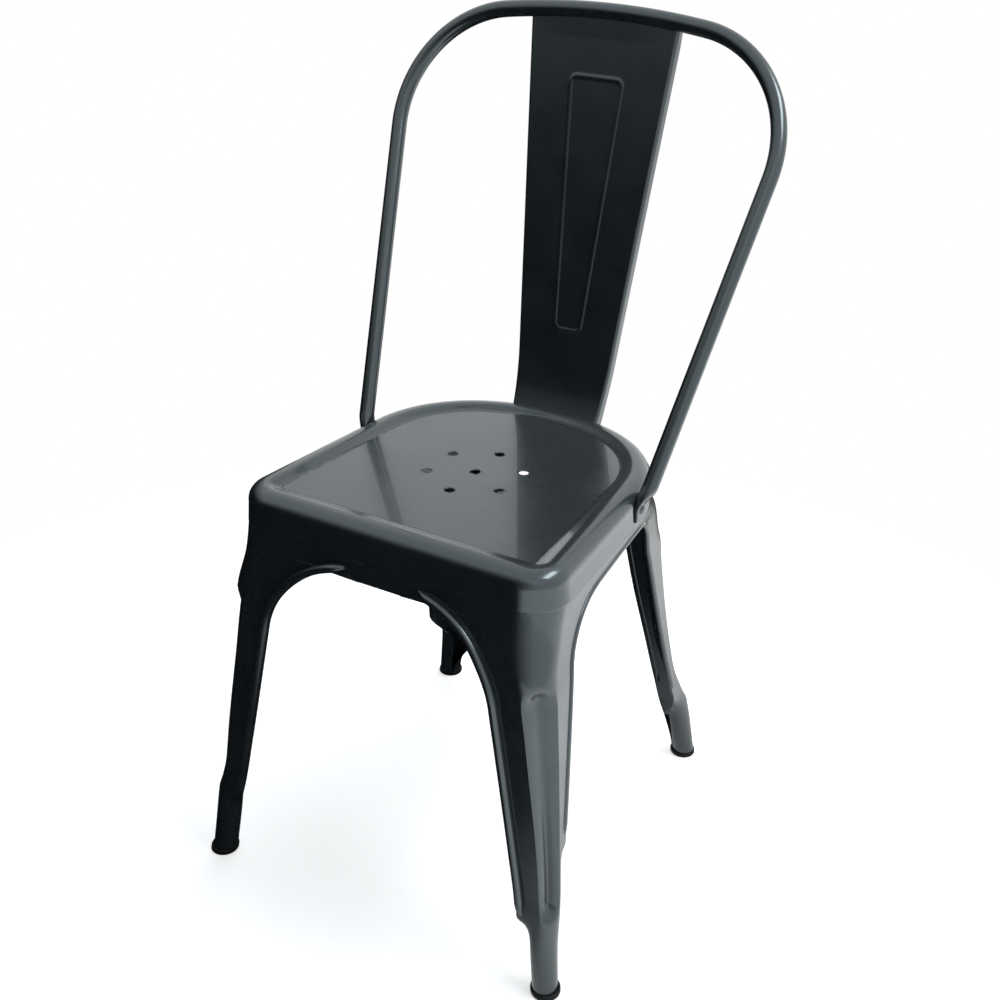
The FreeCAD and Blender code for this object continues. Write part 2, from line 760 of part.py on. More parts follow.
def hoop_end():
    """Return the right-hand end of the hoop, from the round tube down to the flat plate."""
    first = size("hoop_bend")
    start = in_hoop(size("hoop_base_x") + first * math.tan(FLARE), first)
    way = (in_hoop(math.tan(FLARE), 1) - in_hoop(0, 0)).normalize()
    thin = (Vector(1, 0, 0) - way * way.x).normalize()
    wide = way.cross(thin)
    half_wide = size("plate_width") / 2
    half_thin = size("plate_thick") / 2
    plate_x = size("dent_plane") + size("plate_gap") + half_thin
    high = Vector(plate_x, size("dent_centre"), size("plate_high"))
    low = Vector(plate_x, size("dent_centre"), size("plate_low"))
    square = Vector(0, 1, 0)
    halfway = (wide + square).normalize()
    sections = [
        oblong(start, wide, thin, TUBE_RADIUS, TUBE_RADIUS),
        oblong((start + high) * 0.5, halfway, Vector(1, 0, 0),
               (TUBE_RADIUS + half_wide) / 2, (TUBE_RADIUS + half_thin) / 2),
        oblong(high, square, Vector(1, 0, 0), half_wide, half_thin),
    ]
    plate = prism(sections[-1], low - high)
    return sections[0], Part.makeLoft(sections, True, False).fuse(plate)


def back_hoop():
    """Bend the tube and flatten both its ends."""
    ring, end = hoop_end()
    tube = hoop_path().makePipeShell([ring], True, False)
    return tube.fuse([end, mirrored(end)])


# Back splat
# A tapered panel with its side edges folded back and a raised outline. It leans back, and its lower
# end curves forward to stand on the rear rim of the seat.

SPLAT_SLOPE = math.atan2(
    size("splat_top_y") - size("splat_bend_y"),
    size("splat_top") - size("splat_bend_z"),
)


def splat_band(front, back):
    """Return the panel's side profile between two depths behind its front surface, as a slab."""
    low = SEAT_TOP - size("seat_rim_rounding")
    radius = size("splat_bend_radius")
    away = Vector(0, math.cos(SPLAT_SLOPE), -math.sin(SPLAT_SLOPE))
    bend = Vector(0, size("splat_bend_y"), size("splat_bend_z"))
    centre = bend - away * radius
    top = bend + Vector(0, math.sin(SPLAT_SLOPE), math.cos(SPLAT_SLOPE)) * (
        (size("hoop_base_z") + size("hoop_height") * math.cos(LEAN) - bend.z))

    def lowest(deep):
        reach = radius + deep
        angle = math.asin((centre.z - low) / reach)
        return angle, reach

    ends = []
    for deep in (front, back):
        angle, reach = lowest(deep)
        half = (angle + SPLAT_SLOPE) / 2
        ends.append((
            centre + Vector(0, math.cos(angle), -math.sin(angle)) * reach,
            centre + Vector(0, math.cos(half), -math.sin(half)) * reach,
            bend + away * deep,
            top + away * deep,
        ))
    first, last = ends
    wire = Part.Wire([
        Part.Arc(first[0], first[1], first[2]).toShape(),
        Part.makeLine(first[2], first[3]),
        Part.makeLine(first[3], last[3]),
        Part.makeLine(last[3], last[2]),
        Part.Arc(last[2], last[1], last[0]).toShape(),
        Part.makeLine(last[0], first[0]),
    ])
    wire.translate(Vector(-FAR / 2, 0, 0))
    return prism(wire, Vector(FAR, 0, 0))


def splat_half(height):
    """Return half the panel's width at this height."""
    low, high = size("splat_bend_z"), size("splat_top")
    grow = (size("splat_half_top") - size("splat_half_low")) / (high - low)
    return size("splat_half_low") + grow * (height - low)


def tapered(low, high, half_low, half_high, radius):
    """Return a front-view trapezoid swept right through the chair's depth."""
    points = [Vector(-half_low, 0, low), Vector(half_low, 0, low), Vector(half_high, 0, high),
              Vector(-half_high, 0, high)]
    return prism(rounded(points, (radius,) * 4), Vector(0, FAR, 0))


def back_splat(rim_form, hoop):
    """Fold the panel, raise its outline and fit its ends to the seat and the tube."""
    low = SEAT_TOP - size("seat_rim_rounding")
    high = size("hoop_base_z") + size("hoop_height") * math.cos(LEAN) - TUBE_RADIUS / 2
    flange = size("splat_flange")
    outer = tapered(low, high, splat_half(low), splat_half(high), 0)
    inner = tapered(low - 1, high + 1, splat_half(low - 1) - SHEET, splat_half(high + 1) - SHEET, 0)
    panel = splat_band(0, flange).common(outer)
    panel = panel.cut(splat_band(SHEET, 2 * flange).common(inner))

    width = size("rib_width")
    corner = size("rib_corner")
    rib_top, rib_low = size("rib_top"), size("rib_low")
    half_top, half_low = size("rib_half_top"), size("rib_half_low")
    rib = tapered(rib_low, rib_top, half_low, half_top, corner).cut(
        tapered(rib_low + width, rib_top - width, half_low - width, half_top - width,
                corner - width))
    rib = rib.common(splat_band(-size("rib_height"), SHEET / 2))
    return panel.fuse(rib).cut([rim_form, hoop])


# Rivets, cross brace and foot caps


def domed_head(name, head):
    """Add a rivet head: the cap cut from a ball so that it has the head's width and rise."""
    ball = doc.addObject("Part::Sphere", name)
    radius = "((Sizes.%s / 2)^2 + Sizes.rivet_rise^2) / (2 * Sizes.rivet_rise)" % head
    ball.setExpression("Radius", radius)
    ball.setExpression("Angle1", "asin(1 - Sizes.rivet_rise / (%s))" % radius)
    ball.setExpression("Placement.Base.z", "Sizes.rivet_rise - %s" % radius)
    return ball


def rivet(name, grip, place, turn):
    """Add a rivet with a domed head, a shank as long as its grip and a flat tail."""
    head = domed_head(name + "_head", "rivet_head")
    shank = doc.addObject("Part::Cylinder", name + "_shank")
    shank.setExpression("Radius", "Sizes.rivet_shank / 2")
    shank.setExpression("Height", grip)
    shank.setExpression("Placement.Base.z", "-(%s)" % grip)
    tail = doc.addObject("Part::Cylinder", name + "_tail")
    tail.setExpression("Radius", "Sizes.rivet_tail_width / 2")
    tail.setExpression("Height", "Sizes.rivet_tail")
    tail.setExpression("Placement.Base.z", "-(%s) - Sizes.rivet_tail" % grip)
    whole = doc.addObject("Part::MultiFuse", name)
    whole.Label = name
    whole.Shapes = [head, shank, tail]
    whole.Placement = Placement(place, turn)
    doc.recompute()
    return whole


def drilled(shape, place, way):
    """Pierce a piece where a rivet's shank goes through it."""
    start = place - way * FAR / 8
    return shape.cut(Part.makeCylinder(size("rivet_shank") / 2, FAR / 4, start, way))


def cross_brace(name, side, storey):
    """Add a flat bar from a front corner to the opposite rear corner, with bent-down ends."""
    run = Vector(size("brace_front_x") + size("brace_rear_x"),
                 -size("brace_front_y") - size("brace_rear_y"), 0)
    angle = math.degrees(math.atan2(run.y, run.x))
    length = ("sqrt((Sizes.brace_front_x + Sizes.brace_rear_x)^2"
              " + (Sizes.brace_front_y + Sizes.brace_rear_y)^2)")
    bar = doc.addObject("Part::Box", name + "_bar")
    bar.setExpression("Length", length)
    bar.setExpression("Width", "Sizes.brace_width")
    bar.setExpression("Height", "Sizes.brace_thick")
    bar.setExpression("Placement.Base.y", "-Sizes.brace_width / 2")
    bar.setExpression("Placement.Base.z", "%d * Sizes.brace_thick" % -storey)
    tabs = []
    for index, place in enumerate(("0", length + " - Sizes.brace_thick")):
        tab = doc.addObject("Part::Box", "%s_tab_%d" % (name, index + 1))
        tab.setExpression("Length", "Sizes.brace_thick")
        tab.setExpression("Width", "Sizes.brace_width")
        tab.setExpression("Height", "Sizes.brace_tab")
        tab.setExpression("Placement.Base.x", place)
        tab.setExpression("Placement.Base.y", "-Sizes.brace_width / 2")
        tab.setExpression("Placement.Base.z", "%d * Sizes.brace_thick - Sizes.brace_tab"
                          % (1 - storey))
        tabs.append(tab)
    whole = doc.addObject("Part::MultiFuse", name + "_solid")
    whole.Shapes = [bar] + tabs
    hole = doc.addObject("Part::Cylinder", name + "_hole")
    share = "Sizes.brace_rear_x / (Sizes.brace_front_x + Sizes.brace_rear_x)"
    hole.setExpression("Radius", "Sizes.rivet_shank / 2")
    hole.setExpression("Height", "4 * Sizes.brace_thick")
    hole.setExpression("Placement.Base.x", "%s * %s" % (length, share))
    hole.setExpression("Placement.Base.z", "-3 * Sizes.brace_thick")
    bored = doc.addObject("Part::Cut", name)
    bored.Label = name
    bored.Base = whole
    bored.Tool = hole
    turn = Rotation(UP, angle if side > 0 else 180 - angle)
    place = Vector(-side * size("brace_rear_x"), size("brace_rear_y"), size("brace_height"))
    bored.Placement = Placement(place, turn)
    doc.recompute()
    return bored


def cap_section(name, end, side, height, radius):
    """Add one level circle of a foot cap, centred on the leaning foot."""
    circle = doc.addObject("Part::Circle", name)
    circle.setExpression("Radius", radius)
    sign = "-" if end == "front" else ""
    circle.setExpression("Placement.Base.x", "%d * (Sizes.%s_foot_x - Sizes.%s_lean * %s)"
                         % (side, end, end, height))
    circle.setExpression("Placement.Base.y", "%s(Sizes.%s_foot_y - Sizes.%s_lean * %s)"
                         % (sign, end, end, height))
    circle.setExpression("Placement.Base.z", height)
    return circle


def cap_loft(name, end, side, levels, radius):
    """Add the leaning solid through circles at these heights."""
    loft = doc.addObject("Part::Loft", name)
    loft.Sections = [
        cap_section("%s_%d" % (name, index), end, side, height, radius)
        for index, height in enumerate(levels, start=1)
    ]
    loft.Solid = True
    loft.Ruled = True
    return loft


def foot_cap(name, end, side):
    """Add a rubber cap: a cup on the end of one leg."""
    outside = cap_loft(name + "_outside", end, side, ("0", "Sizes.cap_height"),
                       "Sizes.foot_tube / 2 + Sizes.cap_wall")
    bore = cap_loft(name + "_bore", end, side, ("Sizes.cap_floor", "Sizes.cap_height"),
                    "Sizes.foot_tube / 2")
    cup = doc.addObject("Part::Cut", name)
    cup.Label = name
    cup.Base = outside
    cup.Tool = bore
    doc.recompute()
    return cup


# Assembly

seat, rim_form = seat_pan()
hoop_solid = back_hoop()
front_leg = leg("front")
rear_leg = leg("rear")
splat_solid = back_splat(rim_form, hoop_solid)

RIGHT = Vector(1, 0, 0)
plate_out = size("dent_plane") + size("plate_gap") + size("plate_thick")
rivet_place = Vector(plate_out, size("dent_centre"), size("rivet_height"))
hoop_solid = drilled(drilled(hoop_solid, rivet_place, RIGHT), left_of(rivet_place), RIGHT)

subparts = [
    seat,
    shaped("front_right_leg", front_leg),
    shaped("front_left_leg", mirrored(front_leg)),
    shaped("rear_right_leg", rear_leg),
    shaped("rear_left_leg", mirrored(rear_leg)),
    shaped("back_hoop", hoop_solid),
    shaped("back_splat", splat_solid),
]
for end in ("front", "rear"):
    for side, word in ((1, "right"), (-1, "left")):
        subparts.append(foot_cap("%s_%s_foot_cap" % (end, word), end, side))

# the shank passes through the plate and the skirt; its tail lies against the skirt's inside
hoop_grip = "Sizes.plate_thick + Sizes.plate_gap + Sizes.sheet"
subparts.append(rivet("right_hoop_rivet", hoop_grip, rivet_place, Rotation(Vector(0, 1, 0), 90)))
subparts.append(rivet("left_hoop_rivet", hoop_grip, left_of(rivet_place),
                      Rotation(Vector(0, 1, 0), -90)))

subparts.append(cross_brace("upper_cross_brace", 1, 0))
subparts.append(cross_brace("lower_cross_brace", -1, 1))
share = size("brace_rear_x") / (size("brace_front_x") + size("brace_rear_x"))
cross_y = size("brace_rear_y") - share * (size("brace_front_y") + size("brace_rear_y"))
cross_place = Vector(0, cross_y, size("brace_height") + size("brace_thick"))
subparts.append(rivet("cross_brace_rivet", "2 * Sizes.brace_thick", cross_place, Rotation()))

for item in doc.Objects:
    if "Invalid" in item.State or "Error" in item.State:
        raise RuntimeError("%s did not recompute: %s" % (item.Name, item.State))
for item in subparts:
    if item.Shape.isNull() or not item.Shape.isValid() or not item.Shape.Solids:
        raise RuntimeError("%s is not a valid solid" % item.Label)

os.makedirs("parts", exist_ok=True)
for item in subparts:
    item.Shape.exportStep("parts/%s.step" % item.Label)
    box = item.Shape.BoundBox
    print("%-20s %d solid, %7.0f mm3, x %.1f..%.1f, y %.1f..%.1f, z %.1f..%.1f" % (
        item.Label, len(item.Shape.Solids), item.Shape.Volume, box.XMin, box.XMax, box.YMin,
        box.YMax, box.ZMin, box.ZMax))
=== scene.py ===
# %% [markdown]
# # A metal bistro chair
# The chair is pressed from thin sheet steel and bent tube, then painted and baked to a hard gloss.
# It has a seat pan with a shallow recess, four folded legs with a groove in each corner, a tube
# bent into a hoop for the back and a tapered panel, the splat, down its middle.
# The measured model is loaded first. It fixes where every piece sits and how big it is, so each
# piece below can be made on its own and will still meet its neighbours.

# %% Load the measured model
import math

import bpy
import numpy as np
from mathutils import Matrix
from mathutils.geometry import delaunay_2d_cdt


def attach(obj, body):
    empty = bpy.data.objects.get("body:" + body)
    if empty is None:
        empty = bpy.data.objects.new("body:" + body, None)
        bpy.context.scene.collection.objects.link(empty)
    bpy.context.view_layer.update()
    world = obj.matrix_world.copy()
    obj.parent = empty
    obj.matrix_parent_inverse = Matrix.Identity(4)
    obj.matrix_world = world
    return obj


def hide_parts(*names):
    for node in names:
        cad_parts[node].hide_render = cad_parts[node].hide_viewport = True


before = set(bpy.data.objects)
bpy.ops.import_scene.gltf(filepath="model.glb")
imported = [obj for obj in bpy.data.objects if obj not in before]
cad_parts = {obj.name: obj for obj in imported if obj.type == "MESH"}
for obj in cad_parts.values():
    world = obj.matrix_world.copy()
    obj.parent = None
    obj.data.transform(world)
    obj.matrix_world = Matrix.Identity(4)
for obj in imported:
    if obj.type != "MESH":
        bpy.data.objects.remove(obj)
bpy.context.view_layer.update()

# %% [markdown]
# ## Working in millimetres
# Sheet metal is drawn in millimetres, and Blender's scene is in metres. The helpers here take
# points in millimetres and scale them once, when the mesh is made. A mesh is only a list of
# points and a list of faces, so a curved pressing can be written as a grid: rows of points with
# four-sided faces between them. A grid keeps its edges running along the shape, which is what
# makes highlights flow along a leg instead of breaking up.

# %% Faces between the points of a grid
MM = 0.001


def grid_faces(rows, columns, first=0, close_columns=False):
    """Return the four-sided faces between the points of a grid stored row by row."""
    faces = []
    for row in range(rows - 1):
        start = first + row * columns
        for column in range(columns if close_columns else columns - 1):
            after = (column + 1) % columns
            faces.append((start + column, start + after,
                          start + columns + after, start + columns + column))
    return faces


def flipped(faces):
    """Return the same faces looking the other way."""
    return [tuple(reversed(face)) for face in faces]


print("a grid of 3 by 4 points has", len(grid_faces(3, 4)), "faces")

# %% [markdown]
# ## Sheet and tube
# Nearly every piece of this chair is sheet or tube. Sheet could be made with the Solidify modifier
# and tube with a curve and a bevel. Both are written out here instead, because the rolled edges,
# the hollows and the flattened ends need a say over each single ring. Sheet is a grid, the same
# grid again one thickness further in, and a narrow strip round the edge. Tube is a row of rings,
# where each ring takes over its direction from the last one, so that the skin never twists.

# %% The direction square to a grid, and the rings of a tube
SHEET = 1.2
SMALLEST = 1e-9
ASIDE = (0.0, 1.0, 0.3)


def grid_normals(grid):
    """Return the unit direction square to a grid of points, at each point."""
    down = np.gradient(grid, axis=0)
    across = np.gradient(grid, axis=1)
    normal = np.cross(across, down)
    length = np.linalg.norm(normal, axis=2, keepdims=True)
    return normal / np.maximum(length, SMALLEST)


def tube_grid(path, radii, sides):
    """Return rings of points round a path. Each ring's frame is carried on from the last one."""
    path = np.asarray(path, float)
    ways = np.gradient(path, axis=0)
    ways /= np.linalg.norm(ways, axis=1, keepdims=True)
    side = np.cross(ways[0], ASIDE)
    side /= np.linalg.norm(side)
    angles = np.arange(sides) * 2 * math.pi / sides
    rings = []
    for index, (spot, way) in enumerate(zip(path, ways)):
        side = side - way * side.dot(way)
        side /= np.linalg.norm(side)
        up = np.cross(way, side)
        ring = np.outer(np.cos(angles), side) + np.outer(np.sin(angles), up)
        rings.append(spot + ring * radii[index])
    return np.array(rings)


def ring_faces(count, sides):
    """Return the faces of a stack of rings, closed by one face at each end."""
    faces = grid_faces(count, sides, close_columns=True)
    faces.append(tuple(reversed(range(sides))))
    faces.append(tuple(range((count - 1) * sides, count * sides)))
    return faces


print("the sheet is", SHEET, "mm thick")

# %% A skin that collects the points and faces of one piece
class Skin:
    """Points and faces collected for one piece, in millimetres."""

    def __init__(self):
        self.points = []
        self.faces = []

    def add(self, points, faces):
        """Add points, with faces numbered from the first of them."""
        first = len(self.points)
        self.points.extend(map(tuple, points))
        self.faces.extend(tuple(first + index for index in face) for face in faces)

    def add_sheet(self, grid):
        """Add a grid as sheet metal: an outer side, an inner side and a strip round the edge."""
        rows, columns = grid.shape[:2]
        inner = grid - grid_normals(grid) * SHEET
        count = rows * columns
        faces = grid_faces(rows, columns)
        faces += flipped(grid_faces(rows, columns, first=count))
        top = list(range(columns))
        right = [row * columns + columns - 1 for row in range(1, rows)]
        bottom = [(rows - 1) * columns + column for column in reversed(range(columns - 1))]
        left = [row * columns for row in reversed(range(1, rows - 1))]
        rim = top + right + bottom + left
        for index, point in enumerate(rim):
            after = rim[(index + 1) % len(rim)]
            faces.append((after, point, point + count, after + count))
        self.add(np.concatenate([grid.reshape(-1, 3), inner.reshape(-1, 3)]), faces)

    def add_tube(self, path, radii, sides):
        """Add a round tube along a path of points, one radius per point."""
        grid = tube_grid(path, radii, sides)
        self.add(grid.reshape(-1, 3), flipped(ring_faces(len(path), sides)))

    def mirrored(self):
        """Return the same piece on the other side of the chair."""
        other = Skin()
        other.add([(-x, y, z) for x, y, z in self.points], flipped(self.faces))
        return other


trial = Skin()
trial.add_sheet(np.array([[(x, y, 0.0) for x in range(4)] for y in range(3)]))
print("a trial sheet of 3 by 4 points gets", len(trial.faces), "faces with its back and edges")

# %% [markdown]
# ## Smooth change from a few sizes
# A leg is wide at the top and narrow at the foot, and its faces bend softly on the way. It would
# take many loops of points to draw that by hand. Here a few sizes at a few heights say it all, and
# a curve joins them. The curve must not swing past the sizes, or the leg would look dented, so it
# is a cubic whose slopes are held in check. Softer steps, such as the edge of a hollow, use the
# well-known S-shaped curve that starts and ends level.

# %% Two ways of going softly from one size to the next
def smooth_curve(places, values):
    """Return a function through the points whose curve never swings past them."""
    places = np.asarray(places, float)
    values = np.asarray(values, float)
    gaps = np.diff(places)
    slopes = np.diff(values) / gaps
    turns = np.zeros(len(places))
    turns[0], turns[-1] = slopes[0], slopes[-1]
    for index in range(1, len(places) - 1):
        before, after = slopes[index - 1], slopes[index]
        if before * after > 0:
            wide = 2 * gaps[index] + gaps[index - 1]
            near = gaps[index] + 2 * gaps[index - 1]
            turns[index] = (wide + near) / (wide / before + near / after)

    def at(place):
        index = int(np.clip(np.searchsorted(places, place) - 1, 0, len(gaps) - 1))
        part = (place - places[index]) / gaps[index]
        if part < 0 or part > 1:
            end = 0 if part < 0 else -1
            return values[end] + turns[end] * (place - places[end])
        square, cube = part ** 2, part ** 3
        return (values[index] * (2 * cube - 3 * square + 1)
                + turns[index] * gaps[index] * (cube - 2 * square + part)
                + values[index + 1] * (3 * square - 2 * cube)
                + turns[index + 1] * gaps[index] * (cube - square))

    return at


def ease(value):
    """Go from 0 to 1 with a soft start and a soft end."""
    value = min(max(value, 0.0), 1.0)
    return value * value * (3 - 2 * value)


print("half of the way eases to", ease(0.5), "and a quarter to", ease(0.25))

# %% [markdown]
# ## From points to a piece
# A pressed sheet is round almost everywhere and sharp only at cut edges and tight folds. Smooth
# shading hides the faces of the round parts, and every edge that turns by more than a set angle is
# marked as sharp, so both look right on the same mesh. Each piece then rides on the chair's one
# body, and takes the place of the plain measured solid of the same part.

# %% Make a mesh object from a skin
SHARP_ANGLE = math.radians(40)


def make_piece(name, skin, material, *nodes):
    """Make the mesh object, let it ride on the chair and stand for the measured pieces."""
    mesh = bpy.data.meshes.new(name)
    mesh.from_pydata([tuple(value * MM for value in point) for point in skin.points], [],
                     skin.faces)
    mesh.shade_smooth()
    mesh.set_sharp_from_angle(angle=SHARP_ANGLE)
    piece = bpy.data.objects.new(name, mesh)
    bpy.context.scene.collection.objects.link(piece)
    mesh.materials.append(material)
    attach(piece, "root")
    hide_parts(*nodes)
    print(name, len(skin.points), "points", len(skin.faces), "faces")
    return piece


print("edges that turn by more than", round(math.degrees(SHARP_ANGLE)), "degrees are sharp")

# %% [markdown]
# ## The paint
# The whole chair is one colour: a dark grey enamel over smooth steel, with a hard clear gloss.
# Most of what is seen on such a surface is reflection, so the colour stays plain and the work
# goes into the gloss: a clear coat over a slightly rougher base, a very shallow ripple like the
# skin of an orange, which sprayed paint always has, and faint rubbed marks where hands and cloths
# have been. All of it is made from noise in the object's own space, so it stays on the metal.

# %% Nodes that every finish needs
def new_material(name):
    """Return a new node material, its nodes, its links and its surface shader."""
    material = bpy.data.materials.new(name)
    material.use_nodes = True
    nodes = material.node_tree.nodes
    return material, nodes, material.node_tree.links, nodes["Principled BSDF"]


def noise(nodes, links, scale, detail, coordinates):
    """Add a noise texture in the object's own space."""
    texture = nodes.new("ShaderNodeTexNoise")
    texture.inputs["Scale"].default_value = scale
    texture.inputs["Detail"].default_value = detail
    links.new(coordinates.outputs["Object"], texture.inputs["Vector"])
    return texture


def spread(nodes, links, source, low, high, to_low, to_high):
    """Map a texture's values from one range to another."""
    scale = nodes.new("ShaderNodeMapRange")
    scale.inputs["From Min"].default_value = low
    scale.inputs["From Max"].default_value = high
    scale.inputs["To Min"].default_value = to_low
    scale.inputs["To Max"].default_value = to_high
    links.new(source, scale.inputs["Value"])
    return scale.outputs["Result"]


def bumped(nodes, links, source, strength, distance):
    """Turn a texture's values into a slight unevenness of the surface."""
    bump = nodes.new("ShaderNodeBump")
    bump.inputs["Strength"].default_value = strength
    bump.inputs["Distance"].default_value = distance
    links.new(source, bump.inputs["Height"])
    return bump.outputs["Normal"]


print("materials before the first finish:", len(bpy.data.materials))

# %% The glossy grey enamel
PAINT = (0.013, 0.016, 0.018)
RUBBED_PAINT = (0.020, 0.024, 0.026)
COOL = (0.72, 0.92, 1.0, 1.0)
RUB_SCALE, SMEAR_SCALE, RIPPLE_SCALE = 9.0, 26.0, 320.0
MOST_RUBBED = 0.4
SMEAR_DULLNESS = 0.10
RIPPLE_STRENGTH, RIPPLE_HEIGHT = 0.015, 0.0004


def glossy_paint(name, gloss):
    """Return the grey enamel: plain colour, rippled clear coat and faint rubbed marks."""
    material, nodes, links, shader = new_material(name)
    place = nodes.new("ShaderNodeTexCoord")
    wear = noise(nodes, links, RUB_SCALE, 4.0, place)
    colour = nodes.new("ShaderNodeMix")
    colour.data_type = "RGBA"
    colour.inputs["A"].default_value = (*PAINT, 1.0)
    colour.inputs["B"].default_value = (*RUBBED_PAINT, 1.0)
    links.new(spread(nodes, links, wear.outputs["Fac"], 0.5, 0.8, 0.0, MOST_RUBBED),
              colour.inputs["Factor"])
    links.new(colour.outputs["Result"], shader.inputs["Base Color"])
    smear = noise(nodes, links, SMEAR_SCALE, 6.0, place)
    links.new(spread(nodes, links, smear.outputs["Fac"], 0.35, 0.75, gloss,
                     gloss + SMEAR_DULLNESS),
              shader.inputs["Roughness"])
    shader.inputs["Specular IOR Level"].default_value = 0.8
    shader.inputs["Specular Tint"].default_value = COOL
    shader.inputs["Coat Weight"].default_value = 0.5
    shader.inputs["Coat Roughness"].default_value = 0.05
    shader.inputs["Coat IOR"].default_value = 1.6
    ripple = noise(nodes, links, RIPPLE_SCALE, 2.0, place)
    uneven = bumped(nodes, links, ripple.outputs["Fac"], RIPPLE_STRENGTH, RIPPLE_HEIGHT)
    links.new(uneven, shader.inputs["Normal"])
    links.new(uneven, shader.inputs["Coat Normal"])
    return material


SEAT_PAINT = glossy_paint("seat_paint", 0.22)
LEG_PAINT = glossy_paint("leg_paint", 0.24)
TUBE_PAINT = glossy_paint("tube_paint", 0.22)
SPLAT_PAINT = glossy_paint("splat_paint", 0.26)
print("paints", [material.name for material in bpy.data.materials])

# %% [markdown]
# ## The rubber
# The feet stand in moulded rubber cups, dull and almost black beside the gloss of the paint. Rubber
# has no clear coat and mirrors little. What tells it from black plastic is a fine grain from the
# mould, which breaks up the light. So this finish has a small, strong bump and a high roughness that
# changes from grain to grain.

# %% The dull black rubber
RUBBER = (0.005, 0.005, 0.0055)
GRAIN_SCALE = 700.0
GRAIN_STRENGTH, GRAIN_HEIGHT = 0.15, 0.0003


def black_rubber(name):
    """Return the dull black of a moulded rubber foot."""
    material, nodes, links, shader = new_material(name)
    place = nodes.new("ShaderNodeTexCoord")
    grain = noise(nodes, links, GRAIN_SCALE, 3.0, place)
    shader.inputs["Base Color"].default_value = (*RUBBER, 1.0)
    shader.inputs["Specular IOR Level"].default_value = 0.2
    links.new(spread(nodes, links, grain.outputs["Fac"], 0.3, 0.7, 0.38, 0.55),
              shader.inputs["Roughness"])
    links.new(bumped(nodes, links, grain.outputs["Fac"], GRAIN_STRENGTH, GRAIN_HEIGHT),
              shader.inputs["Normal"])
    return material


FOOT_RUBBER = black_rubber("foot_rubber")
print("rubber colour", RUBBER)

# %% [markdown]
# ## The seat's outline
# Seen from above, the seat has a straight front edge, two tight front corners, sides that draw in
# a little and a broad round back made of three arcs that run smoothly into each other. The same
# outline, moved inwards, gives the foot of the recess, the top of the rim and the inside of the
# sheet. So it is written once as a function of the inset, with the same number of points each
# time, and the pan is then a stack of these outlines.

# %% Arcs of the seat's outline at any inset
SEAT_FRONT = 184.2
SEAT_REAR = 169.0
SEAT_HALF_FRONT = 174.8
SEAT_HALF_REAR = 162.8
SEAT_SIDE_END = 35.0
FRONT_CORNER = 38.0
REAR_CORNER = 138.0
SIDE_DRAW = math.atan2(SEAT_HALF_FRONT - SEAT_HALF_REAR,
                       SEAT_SIDE_END + SEAT_FRONT - FRONT_CORNER)


def seat_arcs(inset):
    """Return the right half's arcs: front corner, rear corner and back, at this inset."""
    out_x, out_y = math.cos(SIDE_DRAW), math.sin(SIDE_DRAW)
    end_x = SEAT_HALF_REAR - out_x * inset
    end_y = SEAT_SIDE_END - out_y * inset
    corner = FRONT_CORNER - inset
    rear = REAR_CORNER - inset
    corner_y = inset - SEAT_FRONT + corner
    reach = end_x * out_x + end_y * out_y - corner
    corner_x = (reach - corner_y * out_y) / out_x
    rear_x, rear_y = end_x - out_x * rear, end_y - out_y * rear
    drop = rear_y - (SEAT_REAR - inset)
    back = (rear ** 2 - rear_x ** 2 - drop ** 2) / (2 * (drop + rear))
    back_y = SEAT_REAR - inset - back
    join = math.atan2(rear_y - back_y, rear_x)
    return (corner_x, corner_y, corner), (rear_x, rear_y, rear), (0.0, back_y, back), join


print("the sides draw in by", round(math.degrees(SIDE_DRAW), 1), "degrees")

# %% Points of the seat's outline
OUTLINE_STEPS = {"front": 24, "front corner": 18, "side": 70, "rear corner": 60, "back": 16}


def arc_points(circle, start, end, count):
    """Return points along a level arc, from one angle to just before the other."""
    angles = np.linspace(start, end, count, endpoint=False)
    return np.stack([circle[0] + circle[2] * np.cos(angles),
                     circle[1] + circle[2] * np.sin(angles)], axis=1)


def line_points(start, end, count):
    """Return points along a straight line, without its end."""
    parts = np.linspace(0, 1, count, endpoint=False)[:, None]
    return np.asarray(start) * (1 - parts) + np.asarray(end) * parts


def seat_outline(inset):
    """Return the closed outline at this inset, always with the same number of points."""
    corner, rear, back, join = seat_arcs(inset)
    front = arc_points(corner, -math.pi / 2, SIDE_DRAW, OUTLINE_STEPS["front corner"])
    side_start = np.array([corner[0] + corner[2] * math.cos(SIDE_DRAW),
                           corner[1] + corner[2] * math.sin(SIDE_DRAW)])
    side_end = np.array([rear[0] + rear[2] * math.cos(SIDE_DRAW),
                         rear[1] + rear[2] * math.sin(SIDE_DRAW)])
    right = np.concatenate([
        line_points((0.0, -SEAT_FRONT + inset), front[0], OUTLINE_STEPS["front"]),
        front,
        line_points(side_start, side_end, OUTLINE_STEPS["side"]),
        arc_points(rear, SIDE_DRAW, join, OUTLINE_STEPS["rear corner"]),
        arc_points(back, join, math.pi / 2, OUTLINE_STEPS["back"]),
        [(0.0, SEAT_REAR - inset)],
    ])
    left = right[1:-1][::-1] * (-1, 1)
    return np.concatenate([right, left])


OUTLINE_POINTS = len(seat_outline(0.0))
print("seat outline has", OUTLINE_POINTS, "points")

# %% [markdown]
# ## The seat pan
# The pan is one sheet. From its open lower edge it goes up as a skirt that is a little wider at the
# bottom, rolls over a round rim and drops five millimetres into the flat recess where a person
# sits. A flat pressed into each side of the skirt takes the end of the back tube.
# The pan could be a box with bevelled edges, but its corners have different radii and its back is
# one long curve. So its profile is a short list of insets and heights, and sweeping that round the
# outline gives rim and skirt at once. The two flats are pressed in afterwards, point by point.

